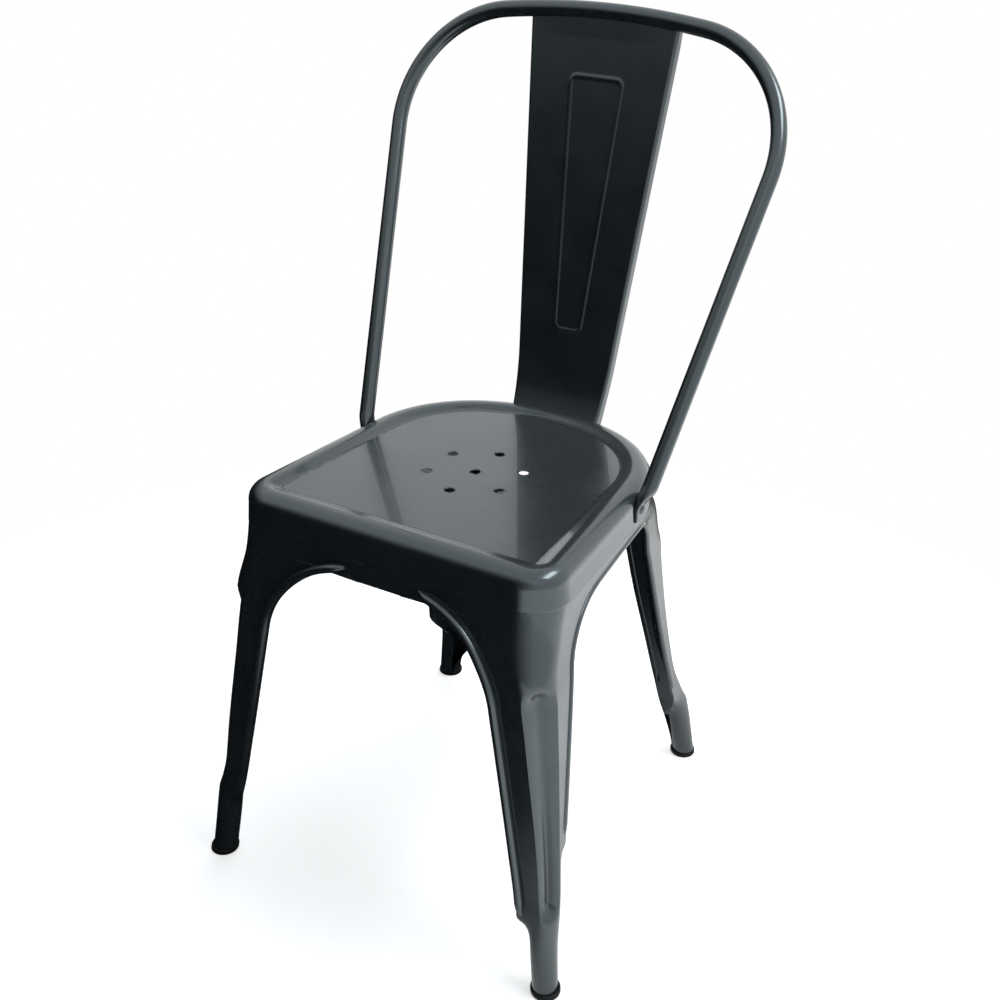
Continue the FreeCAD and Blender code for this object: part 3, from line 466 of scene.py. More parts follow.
# %% Profile of the pan from the skirt's lower edge to the floor
SEAT_TOP = 448.0
SKIRT = 37.0
FLARE = 2.0
FLARE_HEIGHT = 20.0
RIM_ROUND = 16.0
RIM_LEVEL = 1.5
SLOPE_START = 18.0
SLOPE_WIDTH = 15.0
RECESS = 5.0
RIM_POINTS, SLOPE_POINTS = 12, 15


def profile_arc(centre, radius, start, end, count):
    """Return points of a profile arc given in degrees, as inset and height."""
    angles = np.radians(np.linspace(start, end, count))
    return [(centre[0] + radius * math.cos(angle), centre[1] + radius * math.sin(angle))
            for angle in angles]


def pan_profile(skin):
    """Return the profile of the outer side (skin 0) or of the inner side (skin 1)."""
    thick = skin * SHEET
    top = SEAT_TOP - thick
    low = SEAT_TOP - SKIRT
    rim = RIM_ROUND - thick
    points = [(thick - FLARE * (1 - up / FLARE_HEIGHT), low + up)
              for up in (0.4 * (1 - skin), 2.0, 8.0, 14.0, FLARE_HEIGHT)]
    points += profile_arc((thick + rim, top - rim), rim, 180, 90, RIM_POINTS)
    points.append((thick + rim + RIM_LEVEL, top))
    for part in np.linspace(0, 1, SLOPE_POINTS):
        points.append((SLOPE_START + SLOPE_WIDTH * part, top - RECESS * ease(part)))
    return points


print("the pan's profile has", len(pan_profile(0)), "points")

# %% Sweep the profile and press in the flats
DENT_PLANE = 162.2
DENT_Y = 28.0
DENT_HALF = 13.5
DENT_TOP = 438.0
DENT_SIDE_FADE = 3.0
DENT_TOP_FADE = 4.0


def dented(points):
    """Press the two flats for the tube's ends into the sides of the skirt."""
    out = []
    for x, y, z, plane in points:
        away = max(abs(y - DENT_Y) - DENT_HALF, 0.0) / DENT_SIDE_FADE
        over = max(z - DENT_TOP, 0.0) / DENT_TOP_FADE
        kept = max(ease(away), ease(over))
        if abs(x) > plane:
            x = math.copysign(plane + (abs(x) - plane) * kept, x)
        out.append((x, y, z))
    return out


def pan_grid(skin):
    """Sweep the profile round the seat's outline."""
    rows = []
    for inset, height in pan_profile(skin):
        outline = seat_outline(inset)
        rows.append(dented([(x, y, height, DENT_PLANE - skin * SHEET) for x, y in outline]))
    return np.array(rows)


print("rows and points of the pan's outer side:", pan_grid(0).shape[:2])

# %% [markdown]
# ## The floor and its drain holes
# Rain runs off a garden chair through holes in its seat: one in the middle and six round it. They
# are punched from above, so the metal turns down a little at each edge and catches a thin ring of
# light. Holes could be cut with a Boolean modifier, but that leaves long thin faces, and a glossy
# floor shows every one. Here the level floor is a net of triangles between the outline and the
# circles, and each hole has its own small rings that bend down. The outermost ring stays level, so
# that the bend doesn't tilt the shading of the floor.

# %% A net of triangles round the seven holes
DRAIN_Y = -18.0
DRAIN_COUNT = 6
DRAIN_RING = 49.0
DRAIN_RADIUS = 5.0
DRAIN_LIP = 0.7
DRAIN_BORDER = 0.8
DRAIN_SIDES = 40
DRAIN_REACH = DRAIN_RADIUS + DRAIN_LIP + DRAIN_BORDER
NET_CLOSENESS = 1e-6


def drain_centres():
    """Return the middle of the seven drain holes: one in the centre and six round it."""
    centres = [(0.0, DRAIN_Y)]
    for index in range(DRAIN_COUNT):
        angle = math.radians(360 / DRAIN_COUNT * index - 90)
        centres.append((DRAIN_RING * math.cos(angle), DRAIN_Y + DRAIN_RING * math.sin(angle)))
    return centres


def circle_points(centre, radius, count):
    """Return points round a level circle."""
    angles = np.arange(count) * 2 * math.pi / count
    return [(centre[0] + radius * math.cos(angle), centre[1] + radius * math.sin(angle))
            for angle in angles]


def floor_mesh(outline):
    """Fill the floor between its outline and the holes with a net of triangles."""
    points = [tuple(point) for point in outline]
    loops = [list(range(len(points)))]
    for centre in drain_centres():
        first = len(points)
        points += circle_points(centre, DRAIN_REACH, DRAIN_SIDES)
        loops.append(list(range(first, len(points))))
    edges = []
    for loop in loops:
        edges += [(loop[index], loop[(index + 1) % len(loop)]) for index in range(len(loop))]
    spots, _, faces, _, _, _ = delaunay_2d_cdt(points, edges, [], 0, NET_CLOSENESS)
    kept = []
    for face in faces:
        middle = np.mean([spots[index] for index in face], axis=0)
        in_hole = any(math.dist(middle, centre) < DRAIN_RADIUS + DRAIN_LIP
                      for centre in drain_centres())
        if not in_hole:
            kept.append(tuple(face))
    return [tuple(spot) for spot in spots], kept


print("drain holes", [(round(x), round(y)) for x, y in drain_centres()])

# %% The turned-down edges of the holes
DRAIN_DROP = DRAIN_LIP * 0.8
LIP_POINTS = 5


def hole_rings(height, way):
    """Return, for each hole, rings that turn down from one face of the floor into the hole."""
    grids = []
    for centre in drain_centres():
        border = circle_points(centre, DRAIN_REACH, DRAIN_SIDES)
        rows = [[(x, y, height) for x, y in border]]
        for angle in np.radians(np.linspace(90, 0, LIP_POINTS)):
            radius = DRAIN_RADIUS + DRAIN_LIP * (1 - math.cos(angle))
            drop = DRAIN_DROP * (1 - math.sin(angle))
            ring = circle_points(centre, radius, DRAIN_SIDES)
            rows.append([(x, y, height - way * drop) for x, y in ring])
        rows.reverse()
        grids.append(np.array(rows))
    return grids


print("each hole has", len(hole_rings(0.0, 1)[0]), "rings")

# %% Put the pan together
WELD_DISTANCE = 0.00002


def seat_pan_skin():
    """Return the pan: outer side, inner side, the strip between them and the hole walls."""
    skin = Skin()
    outer, inner = pan_grid(0), pan_grid(1)
    skin.add(outer.reshape(-1, 3),
             flipped(grid_faces(len(outer), OUTLINE_POINTS, close_columns=True)))
    skin.add(inner.reshape(-1, 3), grid_faces(len(inner), OUTLINE_POINTS, close_columns=True))
    lower = np.array([inner[0], outer[0]])
    skin.add(lower.reshape(-1, 3), flipped(grid_faces(2, OUTLINE_POINTS, close_columns=True)))
    for side, grid in enumerate((outer, inner)):
        height = float(grid[-1][0][2])
        spots, faces = floor_mesh(grid[-1][:, :2])
        skin.add([(x, y, height) for x, y in spots], flipped(faces) if side else faces)
        for rings in hole_rings(height, 1 - 2 * side):
            hole_faces = grid_faces(len(rings), DRAIN_SIDES, close_columns=True)
            skin.add(rings.reshape(-1, 3), hole_faces if side else flipped(hole_faces))
    return skin


pan = make_piece("seat_pan_pressing", seat_pan_skin(), SEAT_PAINT, "seat_pan")
weld = pan.modifiers.new("weld", "WELD")
weld.merge_threshold = WELD_DISTANCE

# %% [markdown]
# ## The legs
# Each leg is one pressing: a flat arm across the front or the back, a flat arm along the side, and
# a corner between them with a wide groove pressed into it, which makes thin sheet stiff. Near the
# floor both arms curl round until they meet as a tube. The inner edges are rolled into a bead, so
# that nobody is cut by bare sheet.
# A leg could be a box with loops cut into it, but its faces lean, bend and turn into a tube, and
# that is easier to say in sizes than to pull into shape. So a leg is a grid, and the first thing
# it needs is the place of its faces, the radius of its corner and the width of its groove at a few
# heights. The front legs and the rear legs have their own sizes, and left mirrors right.

# %% Sizes of the legs, level by level
LEG_HEIGHTS = (4, 60, 92, 112, 160, 250, 324, 348, 382, 411, 434)
FRONT_FACE = smooth_curve(LEG_HEIGHTS,
                          (234.9, 228.3, 222, 218.2, 213.9, 207, 201.9, 200, 191.5, 185.8, 183.5))
SIDE_AT_FRONT = smooth_curve(
    LEG_HEIGHTS, (220.9, 214.6, 212.6, 210.6, 205.8, 195.5, 186.3, 182.5, 178.5, 176.8, 173.5))
REAR_FACE = smooth_curve(LEG_HEIGHTS,
                         (221, 214, 208.5, 204.5, 196, 180, 172.6, 170.2, 168.5, 166.6, 166.6))
SIDE_AT_REAR = smooth_curve(
    LEG_HEIGHTS, (189, 181, 175.5, 171.5, 163.5, 152.5, 145, 143, 145, 154.3, 154.3))
ROUND = {
    "front": smooth_curve(LEG_HEIGHTS, (13.5, 14.7, 14.9, 15.3, 16.5, 21, 25, 28, 34, 36, 36)),
    "rear": smooth_curve(LEG_HEIGHTS, (13.5, 14.7, 15, 22, 38, 41, 47, 60, 85, 136, 136)),
}
FLUTE_WIDTH = {
    "front": smooth_curve((4, 88, 96, 112, 160, 250, 324, 434), (17, 17, 19, 22, 27, 35, 40, 40)),
    "rear": smooth_curve((4, 88, 96, 112, 160, 250, 434), (17, 17, 19, 29, 51, 55, 60)),
}
print("the front legs' width over all, mid-height:", round(2 * SIDE_AT_FRONT(250.0)), "mm")

# %% [markdown]
# ## The groove in the corner
# The groove, or flute, runs down the leg's corner between two narrow ridges. It begins in a half
# round below the seat and fades out above the foot. Cutting it out of a round corner with another
# form would leave crumpled faces along the ridges. Here the corner's points are pushed inwards
# instead, by a curve that is deepest in the middle and rises steeply just inside each ridge. The
# points lie closer together there, so that the ridge mirrors a clean thin line.

# %% How wide and how deep the flute is
FLUTE_TOP = 344.0
FLUTE_LOW = 88.0
FLUTE_END = 30.0
FLUTE_NARROWEST = 0.3
FLUTE_RISE = 18.0
FLUTE_DEPTH = 5.0
RIDGE_SOFTNESS = 0.05
END_SOFTNESS = 0.5


def flute_breadth(height):
    """Return how wide the flute is at this height: it ends in a half round at the top."""
    along = min(max((FLUTE_TOP - height) / FLUTE_END, 0.0), 1.0)
    return max(math.sqrt(1 - (1 - along) ** 2), FLUTE_NARROWEST)


def flute_share(height):
    """Return how deep the flute is at this height, from 0 to 1."""
    into = ease((FLUTE_TOP - height) / FLUTE_RISE)
    out = ease((height - FLUTE_LOW) / FLUTE_RISE)
    return min(into, out)


def ridge(off, softness):
    """Return the flute's depth across its width: 1 in the middle, 0 at the ridges and beyond."""
    inside = max(1 - off, 0.0)
    return (1 - off ** 2) * inside / (inside + softness) * (1 + softness)


print("flute depth by height", {height: round(FLUTE_DEPTH * flute_share(height), 1)
                                for height in (95, 200, 335)})

# %% One level row of points round the corner
CORNER_POINTS = 30
RIDGE_POINTS = 5
WIDEST_FLUTE = 0.48


def corner_angles(turn, reach):
    """Return the angles of the corner's points, closer together on the ridges."""
    middle = turn / 2
    inner_points = CORNER_POINTS - 2 * RIDGE_POINTS + 1
    across = np.sin(np.linspace(-math.pi / 2, math.pi / 2, inner_points))
    return np.concatenate([
        np.linspace(0, middle - reach, RIDGE_POINTS, endpoint=False),
        middle + reach * across,
        np.linspace(middle + reach, turn, RIDGE_POINTS)[1:],
    ])


def leg_corner(end, height):
    """Return the corner's points at this height, from the cross face to the side face.

    The corner is part of a circle. The flute replaces its middle with a hollow curve, and small
    round ridges join the two.
    """
    front = np.array([SIDE_AT_FRONT(height), -FRONT_FACE(height)])
    rear = np.array([SIDE_AT_REAR(height), REAR_FACE(height)])
    tip, other = (front, rear) if end == "front" else (rear, front)
    across = np.array([-1.0, 0.0])
    along = (other - tip) / np.linalg.norm(other - tip)
    half = math.acos(float(across @ along)) / 2
    radius = ROUND[end](height)
    inward = (across + along) / np.linalg.norm(across + along)
    centre = tip + inward * radius / math.sin(half)
    start_way = np.array([0.0, -1.0 if end == "front" else 1.0])
    turn = math.pi - 2 * half
    turned = across * -1.0
    reach = math.asin(min(FLUTE_WIDTH[end](height) / 2 / radius, math.sin(turn * WIDEST_FLUTE)))
    wide = reach * flute_breadth(height)
    share = flute_share(height)
    dip = share * (radius * (1 - math.cos(wide)) + FLUTE_DEPTH)
    points = []
    for angle in corner_angles(turn, reach):
        way = start_way * math.cos(angle) + turned * math.sin(angle)
        off = abs(angle - turn / 2) / wide
        hollow = dip * ridge(off, RIDGE_SOFTNESS + END_SOFTNESS * (1 - flute_breadth(height)))
        points.append(centre + way * (radius - hollow))
    points = np.array(points)
    return np.column_stack([points, np.full(len(points), height)])


print("corner row", len(leg_corner("front", 200.0)), "points")

# %% [markdown]
# ## The arches between the legs
# The inner edge of each leg goes up in a straight line and turns over into a nearly level top. Seen
# from the front that line is drawn in width and height, seen from the side in depth and height.
# A curve object could draw it, but the grid needs points that are evenly spaced along it. So each
# edge is written as one path that starts halfway up the leg, turns on an arc that touches both
# lines and ends in the middle of the chair. Walking along it gives the ends of the grid's rows.

# %% Paths of the inner edges
EDGE_LEVEL = 295.0
EDGE_START = 250.0
ARC_POINTS = 60
FRONT_ARCH = {"edge": 131.0, "slope": 0.20, "round": 103.0, "top": 396.8, "rise": 0.0}
REAR_ARCH = {"edge": 88.6, "slope": 0.20, "round": 72.0, "top": 392.0, "rise": 0.0}
SIDE_FRONT_ARCH = {"edge": 144.0, "slope": 0.28, "round": 75.0, "top": 391.0, "rise": -0.06}
SIDE_REAR_ARCH = {"edge": 102.5, "slope": 0.30, "round": 45.0, "top": 391.0, "rise": 0.06}


def edge_out(arch, height):
    """Return how far from the middle the leg's straight inner edge stands."""
    return arch["edge"] + arch["slope"] * (EDGE_LEVEL - height)


def arch_path(arch, count):
    """Return the arch from EDGE_START up the leg, round the corner and to the middle."""
    rise, top = arch["rise"], arch["top"]
    corner_out = (arch["edge"] + arch["slope"] * (EDGE_LEVEL - top)) / (1 + arch["slope"] * rise)
    corner = np.array([corner_out, top + rise * corner_out])
    down = np.array([edge_out(arch, EDGE_START), EDGE_START]) - corner
    down /= np.linalg.norm(down)
    level = np.array([0.0, top]) - corner
    level /= np.linalg.norm(level)
    half = math.acos(float(down @ level)) / 2
    cut = arch["round"] / math.tan(half)
    bisector = (down + level) / np.linalg.norm(down + level)
    centre = corner + bisector * arch["round"] / math.sin(half)
    start, end = corner + down * cut, corner + level * cut
    first = math.atan2(*(start - centre)[::-1])
    last = math.atan2(*(end - centre)[::-1])
    angles = np.linspace(first, last, ARC_POINTS)
    arc = centre + arch["round"] * np.column_stack([np.cos(angles), np.sin(angles)])
    path = np.concatenate([[(edge_out(arch, EDGE_START), EDGE_START)], arc, [(0.0, top)]])
    steps = np.concatenate([[0], np.cumsum(np.linalg.norm(np.diff(path, axis=0), axis=1))])
    marks = np.linspace(0, steps[-1], count)
    return np.column_stack([np.interp(marks, steps, path[:, 0]),
                            np.interp(marks, steps, path[:, 1])])


print("front arch path", arch_path(FRONT_ARCH, 5).round(1).tolist())

# %% The front arch hangs lower in its middle
MIDDLE_DROP = 5.0
FRONT_BEAD_GAP = 32.0
DROP_WIDTH = 12.0


def hanging(path):
    """Return the front arch with its middle hanging lower, between the ends of the bead."""
    start = FRONT_BEAD_GAP - DROP_WIDTH / 2
    drop = MIDDLE_DROP * (1 - np.array([ease((out - start) / DROP_WIDTH) for out in path[:, 0]]))
    return path - np.column_stack([np.zeros(len(path)), drop])


print("lowest point of the front arch's middle:", hanging(arch_path(FRONT_ARCH, 5))[-1, 1], "mm")

# %% [markdown]
# ## The rows of a leg
# Each row crosses the leg from the end of one arm, round the corner, to the end of the other arm.
# Low down the rows are level. Higher up, where the arches between the legs turn over, the ends of
# the rows follow the arches and the middle keeps climbing the corner, like a fan that opens. Near
# the floor both arms bend round into a tube. Two shapes are worked out for each point there, on the
# flat face and on the tube, and the point moves softly from one to the other. A press folds the
# real sheet in much the same way.

# %% Points on the leg's flat faces
def on_front(out, height):
    """Return the point of the front face this far out."""
    return np.array([out, -FRONT_FACE(height), height])


def on_rear(out, height):
    """Return the point of the rear face this far out."""
    return np.array([out, REAR_FACE(height), height])


def on_side(depth, height):
    """Return the point of the side face at this depth."""
    front, rear = FRONT_FACE(height), REAR_FACE(height)
    part = (depth + front) / (front + rear)
    x = SIDE_AT_FRONT(height) * (1 - part) + SIDE_AT_REAR(height) * part
    return np.array([x, depth, height])


print("side face halfway up", on_side(0.0, 250.0).round(1).tolist())

# %% Arms that curl round into a tube
ARM_POINTS = 15
FOOT_RADIUS = 13.5
CURL_TURN = math.radians(131)


def curled_arm(start, away, inward, long, part):
    """Return the point of an arm that curls round as a tube, this part of the way along it."""
    angle = part * CURL_TURN
    return (start + away * long * math.sin(angle)
            + inward * FOOT_RADIUS * (1 - math.cos(angle)))


def arm_row(place, start, edge, curl, away, inward, long):
    """Return an arm's points from its edge to the corner: flat, curled or between the two."""
    points = []
    for part in np.linspace(1, 0, ARM_POINTS, endpoint=False):
        out = start[:2] @ place["axis"] * (1 - part) + edge[0] * part
        height = start[2] * (1 - part) + edge[1] * part
        point = place["face"](out, height)
        if curl > 0:
            round_point = curled_arm(start, away, inward, long, part)
            point = point * (1 - curl) + round_point * curl
        points.append(point)
    return points


def curled_share(levels, height):
    """Return how far an arm has curled into the tube at this height, from 0 to 1."""
    high, low = levels
    return ease((high - height) / (high - low))


print("an arm has", ARM_POINTS, "points on each row")

# %% One row of a leg
FOOT = {"front": (208.0, 222.0, 0.14), "rear": (176.0, 208.0, 0.125)}
CROSS_CURL = {"front": (88.0, 56.0), "rear": (70.0, 8.0)}
SIDE_CURL = {"front": (165.0, 125.0), "rear": (118.0, 58.0)}


def leg_row(end, height, cross_edge, side_edge):
    """Return one row of the leg: cross arm, corner and side arm."""
    sign = -1.0 if end == "front" else 1.0
    corner = leg_corner(end, height)
    start, finish = corner[0], corner[-1]
    foot_x, foot_y, lean = FOOT[end]
    curl, side_curl = curled_share(CROSS_CURL[end], height), curled_share(SIDE_CURL[end], height)
    cross_long = start[0] - (foot_x - lean * height - FOOT_RADIUS)
    side_long = abs(finish[1]) - (foot_y - lean * height - FOOT_RADIUS)
    cross = {"axis": np.array([1.0, 0.0]), "face": on_front if end == "front" else on_rear}
    side = {"axis": np.array([0.0, 1.0]), "face": on_side}
    cross_points = arm_row(cross, start, cross_edge, curl, np.array([-1.0, 0.0, 0.0]),
                           np.array([0.0, -sign, 0.0]), cross_long)
    side_points = arm_row(side, finish, side_edge, side_curl, np.array([0.0, -sign, 0.0]),
                          np.array([-1.0, 0.0, 0.0]), side_long)
    return np.array(cross_points + list(corner) + side_points[::-1])


print("a leg's row has", 2 * ARM_POINTS + CORNER_POINTS, "points")

# %% All the rows of a leg
ARCH_ROWS = 76
ARCH_END = 404.0
ARCH_CLIMB = smooth_curve((0.0, 0.35, 0.7, 1.0), (EDGE_START, 318.0, 378.0, ARCH_END))
LEG_TOP = 434.0
FOOT_END = 4.0
FOOT_STEP, ROW_STEP = 9.0, 4.0
FOOT_LEVEL = 40.0
TOP_ROWS = (407.0, 409.5, 411.0, 412.0, 422.0, LEG_TOP)


def leg_rows(end):
    """Return the leg's outer side as a grid, from the floor to the top."""
    sign = -1.0 if end == "front" else 1.0
    cross_arch = FRONT_ARCH if end == "front" else REAR_ARCH
    side_arch = SIDE_FRONT_ARCH if end == "front" else SIDE_REAR_ARCH
    rows = []
    heights = np.concatenate([np.arange(FOOT_END, FOOT_LEVEL, FOOT_STEP),
                              np.arange(FOOT_LEVEL, EDGE_START, ROW_STEP)])
    for height in heights:
        cross_edge = (edge_out(cross_arch, height), height)
        side_edge = (sign * edge_out(side_arch, height), height)
        rows.append(leg_row(end, height, cross_edge, side_edge))
    cross_path = arch_path(cross_arch, ARCH_ROWS)
    if end == "front":
        cross_path = hanging(cross_path)
    side_path = arch_path(side_arch, ARCH_ROWS)
    for index in range(ARCH_ROWS):
        height = ARCH_CLIMB(index / (ARCH_ROWS - 1))
        side_edge = (sign * side_path[index][0], side_path[index][1])
        rows.append(leg_row(end, height, tuple(cross_path[index]), side_edge))
    for height in TOP_ROWS:
        part = (height - ARCH_END) / (LEG_TOP - ARCH_END)
        cross_edge = (0.0, cross_path[-1][1] * (1 - part) + LEG_TOP * part)
        side_edge = (0.0, side_arch["top"] * (1 - part) + LEG_TOP * part)
        rows.append(leg_row(end, height, cross_edge, side_edge))
    return np.array(rows), cross_path, side_path


print("rows and points of a front leg:", leg_rows("front")[0].shape[:2])

# %% [markdown]
# ## The rolled edge
# The bead along a leg's inner edge is the sheet itself, rolled into a thin pipe. A bevel on the
# edge of the sheet couldn't make it, because the pipe is thicker than the sheet. It is made as a
# tube that follows the edge, just inside the metal. Across the front and the back it stands proud
# of the face, and on the sides most of it lies behind the face. It fades out low on the leg, where
# the arm curls, and at the front it stops short of the middle of the chair.

# %% Lay the rolled edge along the arches
CROSS_BEAD = {"radius": 4.4, "proud": 2.6}
SIDE_BEAD = {"radius": 3.6, "proud": -1.6}
BEAD_INSET = 1.1
BEAD_GROWTH = 24.0
BEAD_END = 22.0
BEAD_STEP = 6.0
BEAD_LEAST = 0.02
BEAD_THINNEST = 0.25


def edge_spots(arch, path, low):
    """Return points along the whole inner edge, from low on the leg to the middle."""
    heights = np.arange(low, EDGE_START, BEAD_STEP)
    straight = [(edge_out(arch, height), height) for height in heights]
    return np.array(straight + [tuple(point) for point in path])


def bead(form, face, sign, arch, path, low, gap, outward):
    """Return the bead's path and radii along one edge of a leg."""
    radius, proud = form["radius"], form["proud"]
    spots = edge_spots(arch, path, low)
    ways = np.gradient(spots, axis=0)
    ways /= np.linalg.norm(ways, axis=1, keepdims=True)
    off = np.column_stack([ways[:, 1], -ways[:, 0]])
    centres = spots + off * radius * BEAD_INSET
    points, radii = [], []
    for (out, height), start in zip(centres, spots):
        if start[0] < gap:
            continue
        grow = ease((height - low) / BEAD_GROWTH)
        shrink = ease((start[0] - gap) / BEAD_END) if gap else 1.0
        share = max(min(grow, shrink), BEAD_LEAST)
        points.append(face(sign * out, height)
                      + outward * (proud * share - radius * (1 - share)))
        radii.append(radius * (BEAD_THINNEST + (1 - BEAD_THINNEST) * share))
    return np.array(points), radii


print("the beads are", 2 * CROSS_BEAD["radius"], "and", 2 * SIDE_BEAD["radius"], "mm thick")

# %% Put the legs together
BEAD_SIDES = 14
CROSS_BEAD_LOW = {"front": 80.0, "rear": 92.0}
SIDE_BEAD_LOW = {"front": 160.0, "rear": 114.0}


def leg_skin(end):
    """Return the right-hand leg: sheet and both beads."""
    sign = -1.0 if end == "front" else 1.0
    grid, cross_path, side_path = leg_rows(end)
    if end == "rear":
        grid = grid[:, ::-1]
    skin = Skin()
    skin.add_sheet(grid)
    cross_arch = FRONT_ARCH if end == "front" else REAR_ARCH
    side_arch = SIDE_FRONT_ARCH if end == "front" else SIDE_REAR_ARCH
    cross_face = on_front if end == "front" else on_rear
    gap = FRONT_BEAD_GAP if end == "front" else 0.0
    path, radii = bead(CROSS_BEAD, cross_face, 1.0, cross_arch, cross_path,
                       CROSS_BEAD_LOW[end], gap, np.array([0.0, sign, 0.0]))
    skin.add_tube(path, radii, BEAD_SIDES)
    path, radii = bead(SIDE_BEAD, on_side, sign, side_arch, side_path,
                       SIDE_BEAD_LOW[end], 0.0, np.array([1.0, 0.0, 0.0]))
    skin.add_tube(path, radii, BEAD_SIDES)
    return skin


for end in ("front", "rear"):
    right_leg = leg_skin(end)
    make_piece(end + "_right_leg_pressing", right_leg, LEG_PAINT, end + "_right_leg")
    make_piece(end + "_left_leg_pressing", right_leg.mirrored(), LEG_PAINT, end + "_left_leg")

# %% [markdown]
# ## The back hoop
# The hoop is one steel tube bent in a flat plane that leans back by 26 degrees. Its sides spread
# a little, two round corners turn it over and the top is a shallow bow. Lines and arcs that touch
# each other are what a tube bender makes, so the path is worked out from exactly those: the centre
# and radius of the top bow follow from the two corners that it has to meet without a kink. A hand
# drawn Bezier curve would come close, but the eye is quick to see an uneven bend in a tube.

# %% Path of the hoop
TUBE_RADIUS = 8.0
HOOP_LEAN = math.radians(26.0)
HOOP_FLARE = math.radians(7.26)
HOOP_FOOT = (168.9, DENT_Y, 436.0)
HOOP_BEND = 16.0
HOOP_SHOULDER = 322.5
HOOP_CORNER = 116.0
HOOP_TOP = 459.4
HOOP_STEPS = {"straight": 30, "corner": 34, "top": 14}


def in_hoop(across, along):
    """Return the point this far across and along the leaning plane."""
    return np.array([across, HOOP_FOOT[1] + along * math.sin(HOOP_LEAN),
                     HOOP_FOOT[2] + along * math.cos(HOOP_LEAN)])


def hoop_half():
    """Return the hoop's centre line in its own plane, from the right-hand bend to the top."""
    shoulder = HOOP_FOOT[0] + HOOP_SHOULDER * math.tan(HOOP_FLARE)
    turn_x = shoulder - HOOP_CORNER * math.cos(HOOP_FLARE)
    turn_up = HOOP_SHOULDER + HOOP_CORNER * math.sin(HOOP_FLARE)
    drop = turn_up - HOOP_TOP
    bow = (HOOP_CORNER ** 2 - turn_x ** 2 - drop ** 2) / (2 * (drop + HOOP_CORNER))
    join = math.atan2(drop + bow, turn_x)
    straight = [(HOOP_FOOT[0] + along * math.tan(HOOP_FLARE), along)
                for along in np.linspace(HOOP_BEND, HOOP_SHOULDER, HOOP_STEPS["straight"],
                                         endpoint=False)]
    corner = [(turn_x + HOOP_CORNER * math.cos(angle), turn_up + HOOP_CORNER * math.sin(angle))
              for angle in np.linspace(-HOOP_FLARE, join, HOOP_STEPS["corner"], endpoint=False)]
    top = [(bow * math.cos(angle), HOOP_TOP - bow + bow * math.sin(angle))
           for angle in np.linspace(join, math.pi / 2, HOOP_STEPS["top"])]
    return straight + corner + top, bow


HOOP_PATH, HOOP_BOW = hoop_half()
print("radius of the hoop's top bow", round(HOOP_BOW), "mm")

# %% [markdown]
# ## The flattened ends
# Each end of the hoop is squeezed flat in a press and riveted to the skirt. Scaling the end of a
# finished tube would also squeeze its path. A tube is rings of points along a path, though, and
# rings can change one by one. Here each ring turns from a circle into a flat oblong while the path
# bends from the hoop's lean to upright. The formula is a circle whose power grows, which keeps the
# ends of the oblong round and its two faces flat.

# %% A ring between a circle and a flat oblong
TUBE_SIDES = 48
POWER_GAIN = 5.0


def squeezed_ring(centre, wide_way, thin_way, half_wide, half_thin):
    """Return a ring between a circle and a flat oblong with round ends."""
    flat = 1 - min(half_thin / half_wide, 1.0)
    power = 2.0 + POWER_GAIN * flat
    ring = []
    for index in range(TUBE_SIDES):
        angle = 2 * math.pi * index / TUBE_SIDES
        across, up = math.cos(angle), math.sin(angle)
        wide = math.copysign(abs(across) ** (2 / power), across) if flat else across
        thin = math.copysign(abs(up) ** (2 / power), up) if flat else up
        ring.append(centre + wide_way * half_wide * wide + thin_way * half_thin * thin)
    return ring


print("a ring has", TUBE_SIDES, "points")

# %% Rings of the flat plate and of the bend above it
PLATE_LOW = 414.0
PLATE_HIGH = 426.0
PLATE_WIDE = 22.0
PLATE_THICK = 4.4
PLATE_GAP = 0.1
PLATE_X = DENT_PLANE + PLATE_GAP + PLATE_THICK / 2
PLATE_EDGE = ((0.0, 0.55), (0.5, 0.85), (1.5, 0.97), (3.0, 1.0), (8.0, 1.0))
NARROWING = 0.2
BEND_STEPS = 14


def plate_rings():
    """Return the rings of the flat plate, whose lower end is rounded off."""
    square, thin = np.array([0.0, 1.0, 0.0]), np.array([1.0, 0.0, 0.0])
    plate = np.array([PLATE_X, HOOP_FOOT[1], PLATE_LOW])
    return [squeezed_ring(plate + (0, 0, height), square, thin,
                          PLATE_WIDE / 2 * (1 - NARROWING + NARROWING * shrink),
                          PLATE_THICK / 2 * shrink)
            for height, shrink in PLATE_EDGE]


def bend_rings():
    """Return the rings between the upright plate and the leaning round tube."""
    start = in_hoop(*HOOP_PATH[0])
    along = in_hoop(math.tan(HOOP_FLARE), 1.0) - in_hoop(0.0, 0.0)
    along /= np.linalg.norm(along)
    high = np.array([PLATE_X, HOOP_FOOT[1], PLATE_HIGH])
    handle = np.linalg.norm(start - high) / 3
    rings = []
    for part in np.linspace(0, 1, BEND_STEPS)[:-1]:
        bent = (high * (1 - part) ** 3 + 3 * (high + (0, 0, handle)) * part * (1 - part) ** 2
                + 3 * (start - along * handle) * part ** 2 * (1 - part) + start * part ** 3)
        swell = ease(part)
        way = np.array([0.0, 0.0, 1.0]) * (1 - swell) + along * swell
        way /= np.linalg.norm(way)
        thin = np.array([1.0, 0.0, 0.0]) - way * way[0]
        thin /= np.linalg.norm(thin)
        rings.append(squeezed_ring(bent, np.cross(way, thin), thin,
                                   PLATE_WIDE / 2 * (1 - swell) + TUBE_RADIUS * swell,
                                   PLATE_THICK / 2 * (1 - swell) + TUBE_RADIUS * swell))
    return rings


print("plate and bend have", len(plate_rings()) + len(bend_rings()), "rings")

